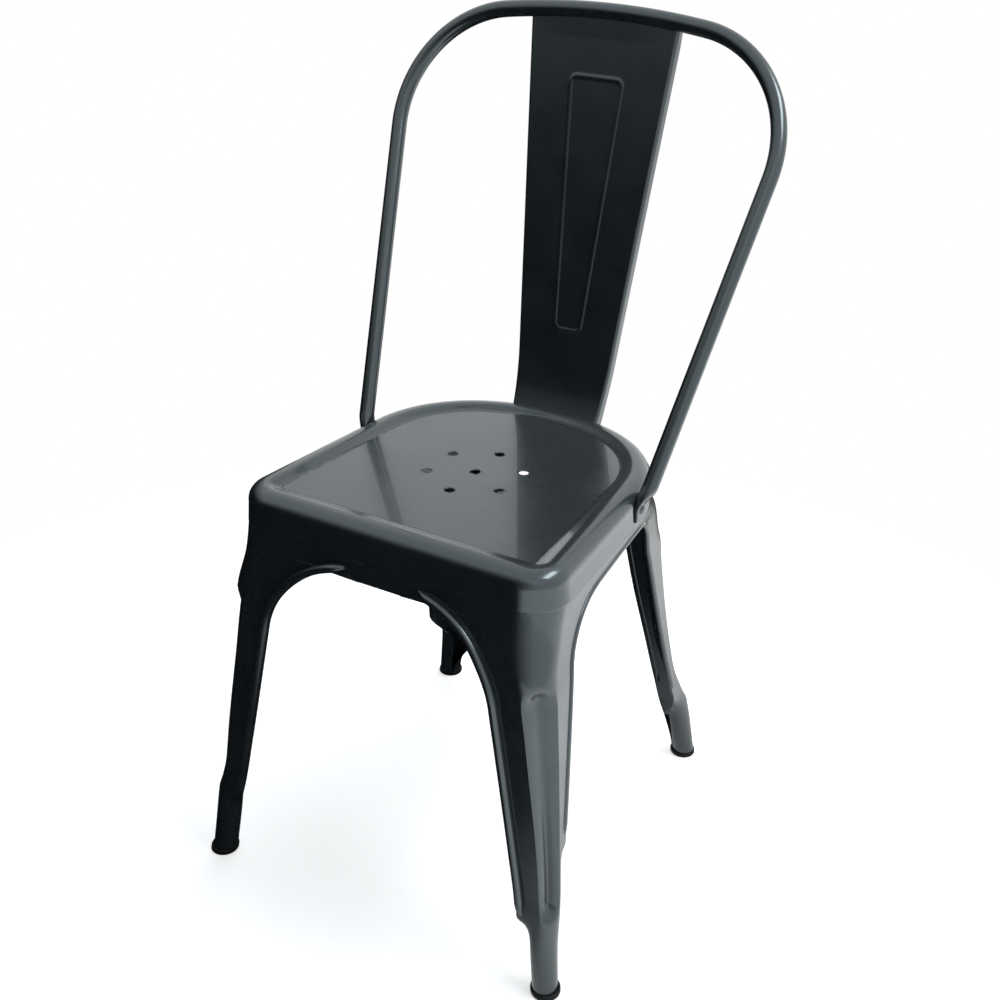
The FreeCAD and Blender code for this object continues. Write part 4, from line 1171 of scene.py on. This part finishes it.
# %% Put the hoop together
def tube_rings():
    """Return the round rings from the right-hand bend to the middle of the top."""
    spots = np.array([in_hoop(*spot) for spot in HOOP_PATH])
    ways = np.gradient(spots, axis=0)
    ways[-1] = (-1.0, 0.0, 0.0)
    normal = np.array([0.0, math.cos(HOOP_LEAN), -math.sin(HOOP_LEAN)])
    rings = []
    for spot, way in zip(spots, ways):
        thin = np.cross(normal, way)
        thin /= np.linalg.norm(thin)
        rings.append(squeezed_ring(spot, normal, thin, TUBE_RADIUS, TUBE_RADIUS))
    return rings


def hoop_skin():
    """Return the whole hoop: the right-hand half and its mirror image as one tube."""
    right = np.array(plate_rings() + bend_rings() + tube_rings())
    left = right[:-1][::-1] * (-1, 1, 1)
    rings = np.concatenate([right, left])
    skin = Skin()
    skin.add(rings.reshape(-1, 3), ring_faces(len(rings), TUBE_SIDES))
    return skin


make_piece("back_hoop_tube", hoop_skin(), TUBE_PAINT, "back_hoop")

# %% [markdown]
# ## The splat
# The splat is a tapered panel whose long edges are folded back. A raised line, pressed from
# behind, draws a long narrow frame in its middle and stiffens it. Low down the panel curves
# forward and stands on the seat's rim, and its top is welded to the underside of the tube.
# The raised line could be a bump in the paint, but it has to show in the panel's real shape too, and
# a bump vanishes at a low angle. So the panel is a fine grid across and up, and every point close
# to a rounded outline is lifted a little, by a function that measures the distance from it.

# %% Sizes of the splat and the curve it follows
SPLAT_BEND_Y, SPLAT_BEND_Z = 170.5, 510.0
SPLAT_TOP_Y, SPLAT_TOP_Z = 226.6, 838.0
SPLAT_SLOPE = math.atan2(SPLAT_TOP_Y - SPLAT_BEND_Y, SPLAT_TOP_Z - SPLAT_BEND_Z)
SPLAT_ROUND = 260.0
SPLAT_HALF_LOW, SPLAT_HALF_TOP = 56.6, 81.0


def splat_half(height):
    """Return half the panel's width at this height."""
    grow = (SPLAT_HALF_TOP - SPLAT_HALF_LOW) / (SPLAT_TOP_Z - SPLAT_BEND_Z)
    return SPLAT_HALF_LOW + grow * (height - SPLAT_BEND_Z)


def splat_spot(height):
    """Return the front surface's depth and the direction behind it, at this height."""
    if height >= SPLAT_BEND_Z:
        y = SPLAT_BEND_Y + (height - SPLAT_BEND_Z) * math.tan(SPLAT_SLOPE)
        angle = SPLAT_SLOPE
    else:
        centre_y = SPLAT_BEND_Y - SPLAT_ROUND * math.cos(SPLAT_SLOPE)
        centre_z = SPLAT_BEND_Z + SPLAT_ROUND * math.sin(SPLAT_SLOPE)
        angle = math.asin((centre_z - height) / SPLAT_ROUND)
        y = centre_y + SPLAT_ROUND * math.cos(angle)
    return y, np.array([0.0, math.cos(angle), -math.sin(angle)])


print("the splat leans back by", round(math.degrees(SPLAT_SLOPE), 1), "degrees")

# %% The raised line
RIB_TOP, RIB_LOW = 788.2, 535.8
RIB_HALF_TOP, RIB_HALF_LOW = 29.2, 15.2
RIB_CORNER = 7.0
RIB_WIDTH = 2.8
RIB_LIFT = 0.9


def rib_distance(x, z):
    """Return the distance of a point of the panel from the raised outline."""
    along = (z - RIB_LOW) / (RIB_TOP - RIB_LOW)
    half = RIB_HALF_LOW + (RIB_HALF_TOP - RIB_HALF_LOW) * along
    side = abs(x) - half
    end = max(z - RIB_TOP, RIB_LOW - z)
    in_side, in_end = side + RIB_CORNER, end + RIB_CORNER
    if in_side > 0 and in_end > 0:
        return abs(math.hypot(in_side, in_end) - RIB_CORNER)
    return abs(max(side, end))


def rib_lift(x, z):
    """Return how far the panel stands proud there."""
    off = rib_distance(x, z) / RIB_WIDTH
    return RIB_LIFT * (0.5 + 0.5 * math.cos(math.pi * min(off, 1.0)))


print("lift on the line and beside it:", round(rib_lift(0.0, RIB_TOP), 2), "and",
      rib_lift(0.0, RIB_TOP + RIB_WIDTH), "mm")

# %% Fit the ends to the seat's rim and to the tube
RIM_SINK, TUBE_SINK = 0.5, 0.6
RIM_FIT_ROWS, TUBE_FIT_ROWS = 12, 10
WIDEST_ON_TUBE = 0.98


def hoop_middle(x):
    """Return the place of the tube's middle at this distance from the chair's middle."""
    along = HOOP_TOP - HOOP_BOW + math.sqrt(HOOP_BOW ** 2 - x ** 2)
    return in_hoop(x, along)


def rim_height(x, y):
    """Return the height of the seat's rim under a point at the back of the seat."""
    _, _, back, _ = seat_arcs(0.0)
    inset = back[2] - math.hypot(x - back[0], y - back[1])
    if inset >= RIM_ROUND:
        return SEAT_TOP
    off = RIM_ROUND - max(inset, 0.0)
    return SEAT_TOP - RIM_ROUND + math.sqrt(RIM_ROUND ** 2 - off ** 2)


def fit_ends(grid):
    """Move the lowest rows down to the seat's rim and the highest rows up to the tube."""
    for column in range(grid.shape[1]):
        x, y, z = grid[0, column]
        target = rim_height(x, y) - RIM_SINK
        for row in range(RIM_FIT_ROWS):
            share = 1 - row / RIM_FIT_ROWS
            grid[row, column, 2] += (target - z) * share
        x, y, z = grid[-1, column]
        middle = hoop_middle(x)
        off = min(abs(y - middle[1]), TUBE_RADIUS * WIDEST_ON_TUBE)
        target = middle[2] - math.sqrt(TUBE_RADIUS ** 2 - off ** 2) + TUBE_SINK
        for row in range(TUBE_FIT_ROWS):
            share = 1 - row / TUBE_FIT_ROWS
            grid[-1 - row, column, 2] += (target - z) * share


print("rim under the splat's middle at", round(rim_height(0.0, 165.0), 1), "mm")

# %% Put the splat together
SPLAT_FLANGE = 10.7
SPLAT_FOLD = 2.4
PANEL_POINTS = 131
LOW_HEIGHTS = np.linspace(446.0, 520.0, 40)
HIGH_HEIGHTS = np.linspace(521.5, SPLAT_TOP_Z, 220)


def splat_row(half):
    """Return one row of the panel: place across, and depth of the fold and the flange."""
    flat = half - SPLAT_FOLD
    side = []
    for angle in np.radians(np.linspace(8, 90, 7)):
        side.append((flat + SPLAT_FOLD * math.sin(angle), SPLAT_FOLD * (1 - math.cos(angle))))
    side += [(half, depth) for depth in np.linspace(SPLAT_FOLD, SPLAT_FLANGE, 4)[1:]]
    panel = [(across, 0.0) for across in np.linspace(-flat, flat, PANEL_POINTS)]
    return [(-across, depth) for across, depth in reversed(side)] + panel + side


def splat_grid():
    """Return the outer side of the splat, from its lower end to the tube."""
    rows = []
    for height in np.concatenate([LOW_HEIGHTS, HIGH_HEIGHTS]):
        y, back = splat_spot(height)
        points = []
        for x, depth in splat_row(splat_half(height)):
            lift = rib_lift(x, height) if depth == 0.0 else 0.0
            points.append(np.array([x, y, height]) + back * (depth - lift))
        rows.append(points)
    grid = np.array(rows)
    fit_ends(grid)
    return grid


splat_skin = Skin()
splat_skin.add_sheet(splat_grid()[:, ::-1])
make_piece("back_splat_panel", splat_skin, SPLAT_PAINT, "back_splat")

# %% [markdown]
# ## The rivets
# Two rivets hold the flattened ends of the hoop to the skirt. Each has a low domed head outside and
# an upset tail inside, where it was hammered. A cylinder and a squashed sphere would meet in a hard
# line. Small round parts are easiest as a profile spun round an axis, like turning on a lathe: a
# short list of radii and heights gives the tail, the shank and the flat of the head, and the dome
# is part of a ball whose size follows from the head's width and rise.

# %% Spin a profile round an axis
SPIN_SIDES = 40


def spun(profile, place):
    """Return rings of points for a profile of radius and height, placed by a function."""
    angles = np.arange(SPIN_SIDES) * 2 * math.pi / SPIN_SIDES
    rings = []
    for radius, height in profile:
        rings.append([place(radius * math.cos(angle), radius * math.sin(angle), height)
                      for angle in angles])
    return np.array(rings)


def add_spun(skin, profile, place, flip=False):
    """Add a spun form, closed at both ends."""
    rings = spun(profile, place)
    faces = ring_faces(len(rings), SPIN_SIDES)
    skin.add(rings.reshape(-1, 3), flipped(faces) if flip else faces)


print("spun parts have", SPIN_SIDES, "sides")

# %% The two rivets of the hoop
RIVET_HEAD = 6.0
RIVET_RISE = 2.6
RIVET_SHANK = 3.0
RIVET_Z = 426.0
RIVET_TAIL, RIVET_TAIL_LONG = 4.8, 1.5
RIVET_GRIP = PLATE_THICK + PLATE_GAP + SHEET
PIN_POINT = 0.01
BALL = (RIVET_HEAD ** 2 + RIVET_RISE ** 2) / (2 * RIVET_RISE)


def rivet_profile():
    """Return the rivet's profile from its tail to the top of its dome."""
    end = -RIVET_GRIP - RIVET_TAIL_LONG
    profile = [(PIN_POINT, end), (RIVET_TAIL - 0.5, end),
               (RIVET_TAIL, -RIVET_GRIP - RIVET_TAIL_LONG * 0.6), (RIVET_TAIL, -RIVET_GRIP),
               (RIVET_SHANK, -RIVET_GRIP), (RIVET_SHANK, 0.0), (RIVET_HEAD - 0.3, 0.0),
               (RIVET_HEAD, 0.25)]
    for part in np.linspace(0.12, 1.0, 9):
        height = RIVET_RISE * part
        radius = math.sqrt(max(BALL ** 2 - (BALL - RIVET_RISE + height) ** 2, 0.0))
        profile.append((max(radius, PIN_POINT), height))
    return profile


def hoop_rivet(side):
    """Return one rivet through the flat end of the hoop."""
    skin = Skin()
    face = DENT_PLANE + PLATE_GAP + PLATE_THICK

    def place(across, up, height):
        return (side * (face + height), DENT_Y + across, RIVET_Z + up)

    add_spun(skin, rivet_profile(), place, flip=side < 0)
    return skin


for side, word in ((1, "right"), (-1, "left")):
    make_piece(word + "_hoop_rivet_turned", hoop_rivet(side), TUBE_PAINT, word + "_hoop_rivet")

# %% [markdown]
# ## The rubber feet
# A rubber cup closes the end of each leg, so that the steel doesn't scratch the floor. It is low,
# with a rounded lip, and stands on a narrow ring under its sole. A cylinder with a bevel would
# stand upright, but the end of the leg leans. So the cup is a spun profile again, and the function
# that places its rings moves each one sideways with its height, along the slope of the leg.

# %% The four rubber feet
CAP_WALL = 2.0
CAP_HEIGHT = 6.0
CAP_FLOOR = 4.0
CAP_PLAY = 0.02


def foot_cap(end, side):
    """Return one rubber cup on the end of a leg."""
    foot_x, foot_y, lean = FOOT[end]
    sign = -1.0 if end == "front" else 1.0
    outer = FOOT_RADIUS + CAP_WALL
    bore = FOOT_RADIUS + CAP_PLAY
    profile = [(PIN_POINT, 0.3), (outer - 4.5, 0.3), (outer - 3.6, 0.0), (outer - 1.2, 0.0),
               (outer - 0.35, 0.35), (outer, 1.2), (outer, CAP_HEIGHT - 1.0),
               (outer - 0.3, CAP_HEIGHT - 0.3), (outer - 0.9, CAP_HEIGHT),
               (bore + 0.3, CAP_HEIGHT), (bore, CAP_HEIGHT - 0.3), (bore, CAP_FLOOR),
               (PIN_POINT, CAP_FLOOR)]
    skin = Skin()

    def place(across, up, height):
        return (side * (foot_x - lean * height + across), sign * (foot_y - lean * height) + up,
                height)

    add_spun(skin, profile, place, flip=side < 0)
    return skin


for end in ("front", "rear"):
    for side, word in ((1, "right"), (-1, "left")):
        make_piece("%s_%s_foot_cup" % (end, word), foot_cap(end, side), FOOT_RUBBER,
                   "%s_%s_foot_cap" % (end, word))

# %% [markdown]
# ## The crossing bars
# Under the seat two flat steel bars cross from leg to leg, with a rivet where they meet. Their
# plain shape is already right in the measured model, so nothing is made again. They take the same
# paint as the legs. The bars were cut with shears and have lost their sharpest edge, so a narrow
# bevel softens them, and that gives the paint a thin bright line to mirror.

# %% Paint the crossing bars and soften their edges
BAR_BEVEL = 0.4 * MM

for name in ("upper_cross_brace", "lower_cross_brace", "cross_brace_rivet"):
    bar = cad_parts[name]
    bar.data.materials.clear()
    bar.data.materials.append(LEG_PAINT)
    if name != "cross_brace_rivet":
        bevel = bar.modifiers.new("soft edge", "BEVEL")
        bevel.width = BAR_BEVEL
        bevel.segments = 2
        bevel.limit_method = "ANGLE"
    print("painted", name)

# %% [markdown]
# ## The studio
# A glossy dark object shows its surroundings more than itself. This chair mirrors white from
# behind, from above and from the right, and darkness from the front: the seat and the right-hand
# sides look light, the front of the legs and of the splat nearly black.
# A plain white world would also light the chair from all sides and wash out its shading. So the
# world is white wherever a camera ray or a mirrored ray reaches it, and a softer grey for the light
# itself. The floor does the same away from the chair. Near the chair it is a plain pale surface
# that takes the shadow, and it turns to white gradually, so that no edge shows.

# %% White for what is seen or mirrored, and for nothing else
def white_where_seen(nodes, links):
    """Return an output that is 1 for camera, mirrored and passing rays, 0 for other light."""
    path = nodes.new("ShaderNodeLightPath")
    first = nodes.new("ShaderNodeMath")
    first.operation = "ADD"
    first.use_clamp = True
    links.new(path.outputs["Is Camera Ray"], first.inputs[0])
    links.new(path.outputs["Is Glossy Ray"], first.inputs[1])
    both = nodes.new("ShaderNodeMath")
    both.operation = "ADD"
    both.use_clamp = True
    links.new(first.outputs[0], both.inputs[0])
    links.new(path.outputs["Is Transmission Ray"], both.inputs[1])
    return both.outputs[0]


def multiplied(nodes, links, first, second):
    """Return the product of two outputs, or of an output and a number."""
    product = nodes.new("ShaderNodeMath")
    product.operation = "MULTIPLY"
    links.new(first, product.inputs[0])
    if isinstance(second, float):
        product.inputs[1].default_value = second
    else:
        links.new(second, product.inputs[1])
    return product.outputs[0]


print("materials before the floor's:", len(bpy.data.materials))

# %% The floor
FLOOR_SIZE = 14.0
FLOOR_COLOUR = (0.80, 0.80, 0.80, 1.0)
FLOOR_DULLNESS = 0.9
FLOOR_GLOW = 0.60
FADE_START = 0.45
FADE_END = 1.0


def floor_material():
    """Return a pale floor that takes a shadow near the chair and is white further away."""
    material, nodes, links, shader = new_material("studio_floor")
    shader.inputs["Base Color"].default_value = FLOOR_COLOUR
    shader.inputs["Roughness"].default_value = FLOOR_DULLNESS
    shader.inputs["Specular IOR Level"].default_value = 0.0
    seen = white_where_seen(nodes, links)
    glow = nodes.new("ShaderNodeEmission")
    links.new(multiplied(nodes, links, seen, FLOOR_GLOW), glow.inputs["Strength"])
    near = nodes.new("ShaderNodeAddShader")
    links.new(shader.outputs["BSDF"], near.inputs[0])
    links.new(glow.outputs["Emission"], near.inputs[1])
    far = nodes.new("ShaderNodeEmission")
    place = nodes.new("ShaderNodeTexCoord")
    distance = nodes.new("ShaderNodeVectorMath")
    distance.operation = "LENGTH"
    links.new(place.outputs["Object"], distance.inputs[0])
    away = spread(nodes, links, distance.outputs["Value"], FADE_START, FADE_END, 0.0, 1.0)
    mixed = nodes.new("ShaderNodeMixShader")
    links.new(multiplied(nodes, links, away, seen), mixed.inputs[0])
    links.new(near.outputs[0], mixed.inputs[1])
    links.new(far.outputs[0], mixed.inputs[2])
    links.new(mixed.outputs[0], nodes["Material Output"].inputs["Surface"])
    return material


bpy.ops.mesh.primitive_plane_add(size=FLOOR_SIZE, location=(0.0, 0.0, 0.0))
floor = bpy.context.object
floor.name = "studio_floor"
floor.data.materials.append(floor_material())
print("floor of", FLOOR_SIZE, "by", FLOOR_SIZE, "metres")

# %% The white room
AMBIENT = (0.19, 0.21, 0.23, 1.0)
WHITE = (1.0, 1.0, 1.0, 1.0)

world = bpy.data.worlds.new("studio_world")
bpy.context.scene.world = world
world.use_nodes = True
world_nodes, world_links = world.node_tree.nodes, world.node_tree.links
background = world_nodes["Background"]
background.inputs["Color"].default_value = AMBIENT
background.inputs["Strength"].default_value = 1.0
white = world_nodes.new("ShaderNodeBackground")
white.inputs["Color"].default_value = WHITE
white.inputs["Strength"].default_value = 1.0
room = world_nodes.new("ShaderNodeMixShader")
world_links.new(white_where_seen(world_nodes, world_links), room.inputs[0])
world_links.new(background.outputs["Background"], room.inputs[1])
world_links.new(white.outputs["Background"], room.inputs[2])
world_links.new(room.outputs["Shader"], world_nodes["World Output"].inputs["Surface"])
print("ambient light", AMBIENT[:3])

# %% [markdown]
# ## Cards for the paint to mirror
# In a photographer's studio, cards beside a shiny object decide what it mirrors. A dark card gives
# it dark sides, and a pale one a light band. Three cards do this here: dark ones in front and on
# the left, and one on the floor that turns bright towards the right. A whole room could be built
# instead, but a card whose tone changes along a ramp does the same with one face.
# The camera doesn't see the cards and they hold back no light, so only the paint knows of them.

# %% A card with a tone that changes along it
DARKEST = 0.002


def toned_card(name, corners, across, upward):
    """Add a card that is black low on the left and can turn paler to the right and upwards.

    Each ramp is the place where it starts, the place where it ends and the tone it reaches.
    """
    material, nodes, links, shader = new_material(name)
    place = nodes.new("ShaderNodeTexCoord")
    axes = nodes.new("ShaderNodeSeparateXYZ")
    links.new(place.outputs["Object"], axes.inputs[0])
    tones = nodes.new("ShaderNodeMath")
    tones.operation = "ADD"
    for index, (axis, ramp) in enumerate((("X", across), ("Z", upward))):
        tone = spread(nodes, links, axes.outputs[axis], ramp[0], ramp[1], DARKEST, ramp[2])
        links.new(tone, tones.inputs[index])
    glow = nodes.new("ShaderNodeEmission")
    links.new(tones.outputs[0], glow.inputs["Strength"])
    links.new(glow.outputs[0], nodes["Material Output"].inputs["Surface"])
    mesh = bpy.data.meshes.new(name)
    mesh.from_pydata(corners, [], [(0, 1, 2, 3)])
    mesh.materials.append(material)
    card = bpy.data.objects.new(name, mesh)
    bpy.context.scene.collection.objects.link(card)
    card.visible_camera = False
    card.visible_shadow = False
    card.visible_diffuse = False
    print("placed", name)


# %% The cards on the floor, in front and on the left
CARD_LEFT, CARD_RIGHT = -2.2, 1.6
CARD_FRONT, CARD_BACK = -1.6, 1.9
CARD_LOW, CARD_TOP = 0.002, 2.2
CARD_FADE = 0.95
NO_RAMP = (0.0, 1.0, 0.0)

toned_card("card_on_floor",
           [(CARD_LEFT, CARD_FRONT, CARD_LOW), (CARD_RIGHT, CARD_FRONT, CARD_LOW),
            (CARD_RIGHT, CARD_BACK, CARD_LOW), (CARD_LEFT, CARD_BACK, CARD_LOW)],
           (0.03, 0.35, 1.4), NO_RAMP)
toned_card("card_standing",
           [(CARD_LEFT, CARD_FRONT, CARD_LOW), (CARD_RIGHT, CARD_FRONT, CARD_LOW),
            (CARD_RIGHT, CARD_FRONT, CARD_TOP), (CARD_LEFT, CARD_FRONT, CARD_TOP)],
           (-0.1, 1.3, 0.90), (CARD_FADE, CARD_TOP, 0.90))
toned_card("card_left",
           [(CARD_LEFT, CARD_BACK, CARD_LOW), (CARD_LEFT, CARD_FRONT, CARD_LOW),
            (CARD_LEFT, CARD_FRONT, CARD_TOP), (CARD_LEFT, CARD_BACK, CARD_TOP)],
           NO_RAMP, (CARD_FADE, CARD_TOP, 0.80))

# %% [markdown]
# ## The lamps
# Soft light comes from the right, and more of it from above and behind. Large lamps give soft
# shadows where a sun or a spot lamp would draw hard ones. A glossy seat would mirror them as plain
# bright squares, though, so these two light the chair and aren't mirrored in it. A third, smaller
# lamp high on the right is mirrored: it makes the highlight on the front corner of the rim.

# %% A lamp that points at a target
LAMP_COLOUR = (0.95, 0.985, 1.0)


def soft_lamp(name, place, target, size, power):
    """Add a broad lamp of this width and height that points at a target."""
    light = bpy.data.lights.new(name, "AREA")
    light.shape = "RECTANGLE"
    light.size, light.size_y = size
    light.energy = power
    light.color = LAMP_COLOUR
    lamp = bpy.data.objects.new(name, light)
    bpy.context.scene.collection.objects.link(lamp)
    way = np.asarray(target) - np.asarray(place)
    way = way / np.linalg.norm(way)
    side = np.cross(way, (0.0, 0.0, 1.0))
    side /= np.linalg.norm(side)
    up = np.cross(side, way)
    lamp.matrix_world = Matrix((
        (side[0], up[0], -way[0], place[0]),
        (side[1], up[1], -way[1], place[1]),
        (side[2], up[2], -way[2], place[2]),
        (0.0, 0.0, 0.0, 1.0),
    ))
    print(name, power, "watts")
    return lamp


# %% Two large lamps and a small one
CHAIR_MIDDLE = (0.0, 0.0, 0.4)
SEAT_CORNER = (0.17, -0.17, 0.44)
LARGE, SMALL = (2.4, 2.0), (1.2, 0.5)

for lamp in (soft_lamp("window_right", (2.4, 0.1, 1.0), CHAIR_MIDDLE, LARGE, 22.0),
             soft_lamp("ceiling_back", (0.2, 1.0, 2.4), CHAIR_MIDDLE, LARGE, 48.0)):
    lamp.visible_glossy = False
soft_lamp("small_window", (1.12, 0.2, 1.9), SEAT_CORNER, SMALL, 15.0)

# %% [markdown]
# ## The camera
# The viewing angle was worked out from the chair itself: its feet stand on one floor and its seat
# is level, so only one camera place fits all of them. The camera stands above the right-hand front
# corner and is rolled by two or three degrees. Its picture is shifted a little instead of turned,
# which keeps the perspective. An object that tracks the chair could aim the camera, but it would
# aim at a chosen point and not along the photograph's own line of sight, so the three directions of
# the camera are worked out here from its turn, rise and roll.

# %% The camera's three directions
CAMERA_SPOT = np.array([585.14, -984.73, 986.56]) * MM
CAMERA_TURN = math.radians(26.504)
CAMERA_RISE = math.radians(31.518)
CAMERA_ROLL = math.radians(2.626)

look = -np.array([math.sin(CAMERA_TURN) * math.cos(CAMERA_RISE),
                  -math.cos(CAMERA_TURN) * math.cos(CAMERA_RISE), math.sin(CAMERA_RISE)])
level = np.cross(look, (0.0, 0.0, 1.0))
level /= np.linalg.norm(level)
above = np.cross(level, look)
right_way = level * math.cos(CAMERA_ROLL) + above * math.sin(CAMERA_ROLL)
up_way = above * math.cos(CAMERA_ROLL) - level * math.sin(CAMERA_ROLL)
print("camera looks along", look.round(3).tolist())

# %% Place the camera
SENSOR_WIDTH = 36.0
FOCAL_SHARE = 1.22585
SHIFT_ACROSS, SHIFT_UP = -0.0605, 0.0992

camera_data = bpy.data.cameras.new("photo_camera")
camera_data.sensor_width = SENSOR_WIDTH
camera_data.lens = SENSOR_WIDTH * FOCAL_SHARE
camera_data.shift_x = SHIFT_ACROSS
camera_data.shift_y = SHIFT_UP
camera = bpy.data.objects.new("photo_camera", camera_data)
bpy.context.scene.collection.objects.link(camera)
camera.matrix_world = Matrix((
    (right_way[0], up_way[0], -look[0], CAMERA_SPOT[0]),
    (right_way[1], up_way[1], -look[1], CAMERA_SPOT[1]),
    (right_way[2], up_way[2], -look[2], CAMERA_SPOT[2]),
    (0.0, 0.0, 0.0, 1.0),
))
bpy.context.scene.camera = camera
bpy.context.scene.view_settings.view_transform = "Standard"
print("camera at", CAMERA_SPOT.round(3).tolist())
